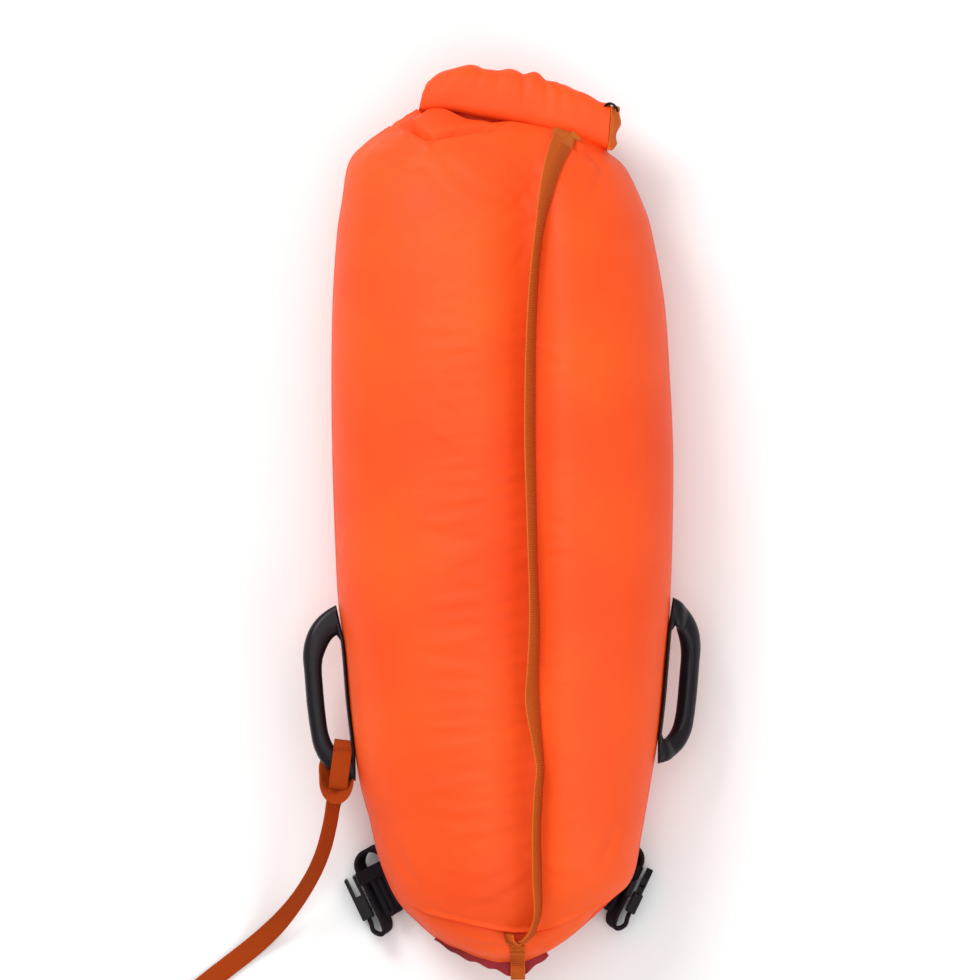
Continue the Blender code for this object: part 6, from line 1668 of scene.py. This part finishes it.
    def tab(self, name, route, width, wavy):
        """A strap whose width lies across the roll, narrowing or widening to the buckle's slot."""
        line = smooth_route(route, 10)
        centres, _, at = resampled(line, line, 0.0007)
        share = (at / at[-1])[:, None]
        wide = width + (WEBBING_WIDTH - width) * eased(share)
        spots = np.linspace(-1, 1, 25)[None]
        across = centres[:, 1:2] + wide / 2 * spots
        wave = np.zeros(across.shape)
        if wavy:
            wave = 0.0016 * np.sin(spots * 4.4 + 0.9) * np.sin(math.pi * np.clip(share * 1.5, 0, 1))
            wave = wave - ROLL_SKEW * (across - ROLL_NEAR_EDGE) * np.clip(1.25 - 1.6 * share, 0, 1)
        along = centres[:, 0:1] + wave
        up = np.broadcast_to(centres[:, 2:3], across.shape)
        middle = roll_points(along, across, up)
        tangent = unit(np.gradient(middle, axis=0))
        thick = unit(np.cross(tangent, np.broadcast_to(ROLL_ACROSS, tangent.shape)))
        ribs = TAB_RIB_HEIGHT * (np.abs(np.sin(math.pi * at / TAB_RIB_PITCH)) - 0.5)[:, None, None]
        rows, columns = across.shape
        return sheet_with_back(
            name,
            middle + thick * (TAB_THICKNESS / 2 + ribs),
            grid_quads(rows, columns),
            finish("webbing"),
            in_metres((spots + 1) * width / 2, at[:, None], rows, columns),
            -thick * (TAB_THICKNESS + 2 * ribs),
        )


class BUOY_OT_handles(bpy.types.Operator):
    """Makes the two moulded handles, each a ring with its base strip along the bag's edge"""

    bl_idname = "buoy.handles"
    bl_label = "Handles"

    def execute(self, context):
        for name, shape in HANDLES.items():
            self.make_handle(name, *shape)
        return {"FINISHED"}

    def make_handle(self, name, side, top_y, length, droop):
        """A closed ring of rounded sections: round the grip, then back along the base strip."""

        def spot(out, along):
            y = top_y - along * length
            return np.stack([edge_x(y, side) + side * (HANDLE_GAP + out), y], -1)

        grip = smooth_route(GRIP, 7)
        outer = spot(grip[:, 0] * HANDLE_REACH, grip[:, 1])
        inner = spot(grip[:, 2] * HANDLE_REACH, grip[:, 3])
        thick = HANDLE_HALF_HEIGHT * grip[:, 4]
        base = smooth_route([(p,) for p in BASE_PLACES], 6)[:, 0]
        outer = np.vstack([outer, spot(np.zeros(len(base)), base)])
        inner = np.vstack([inner, spot(np.full(len(base), HANDLE_BASE), base)])
        # The base strip is lower at its ends, where the arms leave it
        foot = 0.70 + 0.30 * np.sin(np.linspace(0.05, math.pi - 0.05, len(base))) ** 0.35
        thick = np.concatenate([thick, HANDLE_BASE_HALF_HEIGHT * foot])
        middle, reach = (outer + inner) / 2, (outer - inner) / 2
        root = edge_x(middle[:, 1], side) + side * (HANDLE_GAP + HANDLE_BASE)
        share = np.clip(side * (middle[:, 0] - root) / DROOP_START, 0, 1)
        angle = (droop * eased(share))[:, None]
        turn = 2 * math.pi * (np.arange(HANDLE_SIDES) + 0.5) / HANDLE_SIDES
        c, s = squared_off(np.cos(turn), HANDLE_ROUNDING), squared_off(np.sin(turn), HANDLE_ROUNDING)
        flat_x = middle[:, :1] + reach[:, :1] * c
        flat_y = middle[:, 1:] + reach[:, 1:] * c
        # The mould's parting line stands a little proud on the outside
        ridge = 1 + 0.030 * np.exp(-((s / 0.16) ** 2)) * np.abs(c) ** 6
        flat_x = middle[:, :1] + (flat_x - middle[:, :1]) * ridge
        height = thick[:, None] * s
        out = side * (flat_x - root[:, None])
        bent = out * np.cos(angle) + height * np.sin(angle)
        z = SEAM_Z - out * np.sin(angle) + height * np.cos(angle)
        points = np.stack([root[:, None] + side * bent, flat_y, z], -1)
        count = len(middle)
        faces = grid_quads(count, HANDLE_SIDES, True).tolist()
        last = (count - 1) * HANDLE_SIDES
        following = [(k + 1) % HANDLE_SIDES for k in range(HANDLE_SIDES)]
        faces += [(last + k, last + after, after, k) for k, after in enumerate(following)]
        piece = new_piece(f"{name}_handle_moulding", points, faces, finish("handle"))
        settle(piece, "bag", f"{name}_handle")


class Bundle:
    """The plan frame of a belt bundle: along its folds from the top down, and out from the bag."""

    def __init__(self, name):
        start, side = BUNDLE_STARTS[name]
        self.start = np.array(start)
        self.along = np.array((-side * math.sin(BELT_SLANT), -math.cos(BELT_SLANT)))
        self.out = np.array((side * math.cos(BELT_SLANT), -math.sin(BELT_SLANT)))

    def spot(self, along, out):
        """A place in plan from its distances along the folds and out from the bag."""
        return self.start + self.along * along + self.out * out

    def arc(self, along, out, radius, first, last, steps):
        """Places on an arc round a middle, from one number of right angles to another."""
        angle = math.pi / 2 * np.linspace(first, last, steps)
        return [self.spot(along + radius * math.cos(a), out + radius * math.sin(a)) for a in angle]

    def leant(self, points):
        """Points as they lie once the folds lean over, away from the bag at the top, so that their faces show."""
        points = np.array(points, float)
        out = (points[..., :2] - self.start) @ self.out
        fade = np.clip((0.033 - out) / 0.007, 0, 1)
        shift = np.interp(points[..., 2], (0.004, 0.024, 0.042), (-0.0040, 0.0040, 0.0)) * fade
        points[..., :2] += shift[..., None] * self.out
        return points

    def lean(self, piece):
        """Leans the points of a piece over with the folds."""
        spots = np.zeros(len(piece.data.vertices) * 3, np.float32)
        piece.data.vertices.foreach_get("co", spots)
        piece.data.vertices.foreach_set("co", self.leant(spots.reshape(-1, 3)).astype(np.float32).ravel())
        piece.data.update()
        return piece


class BUOY_OT_belts(bpy.types.Operator):
    """Makes the waist belt's two folded bundles: webbing, spare folds, elastic keepers and anchors"""

    bl_idname = "buoy.belts"
    bl_label = "Belt bundles"

    def execute(self, context):
        for name in BUNDLE_STARTS:
            self.make_bundle(name)
        return {"FINISHED"}

    def strap(self, name, plan, width, thickness, ribs):
        """Black webbing that stands on edge over a line in plan."""
        middle_z = BELT_LOW_Z + WEBBING_WIDTH / 2
        line = np.hstack([np.asarray(plan), np.full((len(plan), 1), middle_z)])
        upright = np.tile((0.0, 0.0, 1.0), (len(plan), 1))
        return strap_piece(name, line, upright, width, thickness, finish("belt"), 0.0010, ribs)

    def make_bundle(self, name):
        """The folded belt, its spare folds inside the bundle, its keeper and the anchor that joins it to the bag."""
        bundle = Bundle(name)
        far = 2 * BELT_TOP_LOOP
        line = [bundle.spot(BELT_RUN, 0), bundle.spot(BELT_RUN / 2, 0)]
        line += bundle.arc(0, BELT_TOP_LOOP, BELT_TOP_LOOP, -1, -3, 22)
        line += [bundle.spot(BELT_RUN / 2, far)]
        tail = (
            (BELT_RUN * 0.86, far),
            (BELT_RUN * 0.96, far),
            (BELT_RUN + 0.45 * BELT_END_LOOP, far + 0.06 * BELT_END_LOOP),
            (BELT_RUN + 0.95 * BELT_END_LOOP, far + 0.38 * BELT_END_LOOP),
            (BELT_RUN + 0.98 * BELT_END_LOOP, far + 0.92 * BELT_END_LOOP),
            (BELT_RUN + 0.45 * BELT_END_LOOP, BELT_BUCKLE_OUT + 0.10 * BELT_END_LOOP),
            (BELT_RUN * 0.97, BELT_BUCKLE_OUT + 0.02 * BELT_END_LOOP),
            (BELT_RUN * BELT_BUCKLE_SHARE + 0.0008, BELT_BUCKLE_OUT),
        )
        line += [bundle.spot(a, b) for a, b in smooth_route(tail, 6)]
        belt = bundle.lean(self.strap(f"{name}_belt_webbing", line, WEBBING_WIDTH, BELT_THICKNESS, BELT_RIBS))
        settle(belt, "bag", f"{name}_belt")
        step, half = BELT_SPARE_STEP, BELT_SPARE_STEP / 2
        spare = [bundle.spot(BELT_SPARE_BOTTOM, step)]
        spare += bundle.arc(BELT_SPARE_TOP, step + half, half, -1, -3, 12)
        spare += bundle.arc(BELT_SPARE_BOTTOM, 2 * step + half, half, -1, 1, 12)
        spare += [bundle.spot(BELT_SPARE_TOP, 3 * step)]
        folds = self.strap(
            f"{name}_belt_folds", spare, WEBBING_WIDTH - 0.0006, BELT_SPARE_THICKNESS, BELT_SPARE_RIBS
        )
        settle(bundle.lean(folds), "bag", f"{name}_belt_spare")
        self.make_keeper(name, bundle)
        anchor = node_copy(f"{name}_belt_anchor_webbing", f"{name}_belt_anchor", finish("belt"))
        settle(bundle.lean(anchor), "bag", f"{name}_belt_anchor")
        rows = []
        for share in ANCHOR_SEAMS:
            x, y = bundle.spot(BELT_RUN * share, -0.0011)
            seam = bundle.leant([(x, y, z) for z in ANCHOR_SEAM_HEIGHTS])
            rows.append((seam, [(-bundle.out[0], -bundle.out[1], 0)] * len(seam)))
        stitches(f"{name}_belt_anchor_stitches", rows, "black_thread")

    def make_keeper(self, name, bundle):
        """The elastic band round the folds."""
        room = 0.0024
        low_out, high_out = -room, 2 * BELT_TOP_LOOP + room
        low_z, high_z = BELT_LOW_Z - 0.0004, BELT_LOW_Z + WEBBING_WIDTH + 0.0004
        corners = ((low_out, low_z), (high_out, low_z), (high_out, high_z), (low_out, high_z), (low_out, low_z))
        section = []
        for (out_a, z_a), (out_b, z_b) in zip(corners, corners[1:]):
            for k in np.linspace(0, 1, 12, endpoint=False):
                section.append((out_a + (out_b - out_a) * k, z_a + (z_b - z_a) * k))
        section.append(corners[0])
        line = np.array([(*bundle.spot(KEEPER_START, out), z) for out, z in section])
        wides = np.tile((*bundle.along, 0.0), (len(line), 1))
        centre = np.mean(line[:-1], axis=0)
        line = centre + (line - centre) * KEEPER_SLACK
        piece = strap_piece(
            f"{name}_belt_elastic", line, wides, KEEPER_WIDTH, KEEPER_THICKNESS, finish("elastic"), 0.0010, KEEPER_RIBS
        )
        settle(bundle.lean(piece), "bag", f"{name}_belt_keeper")


class BUOY_OT_hardware(bpy.types.Operator):
    """Finishes the buckles, the adjuster and the valves, and lays a welded patch round each valve"""

    bl_idname = "buoy.hardware"
    bl_label = "Buckles and valves"

    def execute(self, context):
        plain = {
            "buckle": (
                "closure_socket", "closure_plug", "closure_prong_upper", "closure_prong_lower", "belt_socket",
                "belt_plug", "belt_prong_upper", "belt_prong_lower", "belt_adjuster", "left_valve_base",
                "right_valve_base", "left_valve_collar", "right_valve_collar",
            ),
            "rubber": ("left_valve_stem", "right_valve_stem"),
        }
        for material, nodes in plain.items():
            for node in nodes:
                NODES[node].data.materials.clear()
                NODES[node].data.materials.append(finish(material))
        for side in ("left", "right"):
            self.make_patch(side)
        return {"FINISHED"}

    def make_patch(self, side):
        """A disc of fabric welded to the back panel under the valve's flange."""
        origin, axis = valve_axis(side)
        level = unit(np.cross(axis, (0.0, 1.0, 0.0)))
        other = np.cross(axis, level)
        tree = made["back_panel_tree"]
        turns = np.linspace(0, 2 * math.pi, 64, endpoint=False)
        points, insets, uv = [], [], []
        for radius, lift in zip(PATCH_RADII, PATCH_RISES):
            for turn in turns:
                spot = origin + (level * math.cos(turn) + other * math.sin(turn)) * radius
                hit = tree.ray_cast(Vector(spot + axis * 0.03), Vector(-axis))[0]
                base = np.array(hit) if hit is not None else spot
                points.append(base + axis * lift)
                insets.append(-axis * (lift * 0.8))
                uv.append((radius * math.cos(turn), radius * math.sin(turn)))
        faces = grid_quads(len(PATCH_RADII), len(turns), True)
        piece = sheet_with_back(
            f"{side}_valve_patch", np.array(points), faces, finish("weld"), np.array(uv), np.array(insets)
        )
        settle(piece, "bag")


class BUOY_PT_panel(bpy.types.Panel):
    """The buoy's sizes and colours, and what makes each group of pieces"""

    bl_idname = "BUOY_PT_panel"
    bl_label = "Open water swim buoy"
    bl_space_type = "VIEW_3D"
    bl_region_type = "UI"
    bl_category = "Buoy"

    def draw(self, context):
        for group in (context.scene.buoy_sizes, context.scene.buoy_colours):
            box = self.layout.box()
            for name in group.__annotations__:
                box.prop(group, name)
        for operator in OPERATORS:
            self.layout.operator(operator.bl_idname)


OPERATORS = (
    BUOY_OT_stage,
    BUOY_OT_leash,
    BUOY_OT_bag,
    BUOY_OT_straps,
    BUOY_OT_mouth,
    BUOY_OT_handles,
    BUOY_OT_belts,
    BUOY_OT_hardware,
)
CLASSES = (BuoySizes, BuoyColours, *OPERATORS, BUOY_PT_panel)


def register():
    for kind in CLASSES:
        bpy.utils.register_class(kind)
    bpy.types.Scene.buoy_sizes = bpy.props.PointerProperty(type=BuoySizes)
    bpy.types.Scene.buoy_colours = bpy.props.PointerProperty(type=BuoyColours)


def unregister():
    del bpy.types.Scene.buoy_colours
    del bpy.types.Scene.buoy_sizes
    for kind in reversed(CLASSES):
        bpy.utils.unregister_class(kind)


def main():
    register()
    bpy.ops.buoy.stage()
    bpy.ops.buoy.leash()
    bpy.ops.buoy.bag()
    bpy.ops.buoy.straps()
    bpy.ops.buoy.mouth()
    bpy.ops.buoy.handles()
    bpy.ops.buoy.belts()
    bpy.ops.buoy.hardware()
    bpy.context.view_layer.update()


if __name__ == "__main__":
    main()
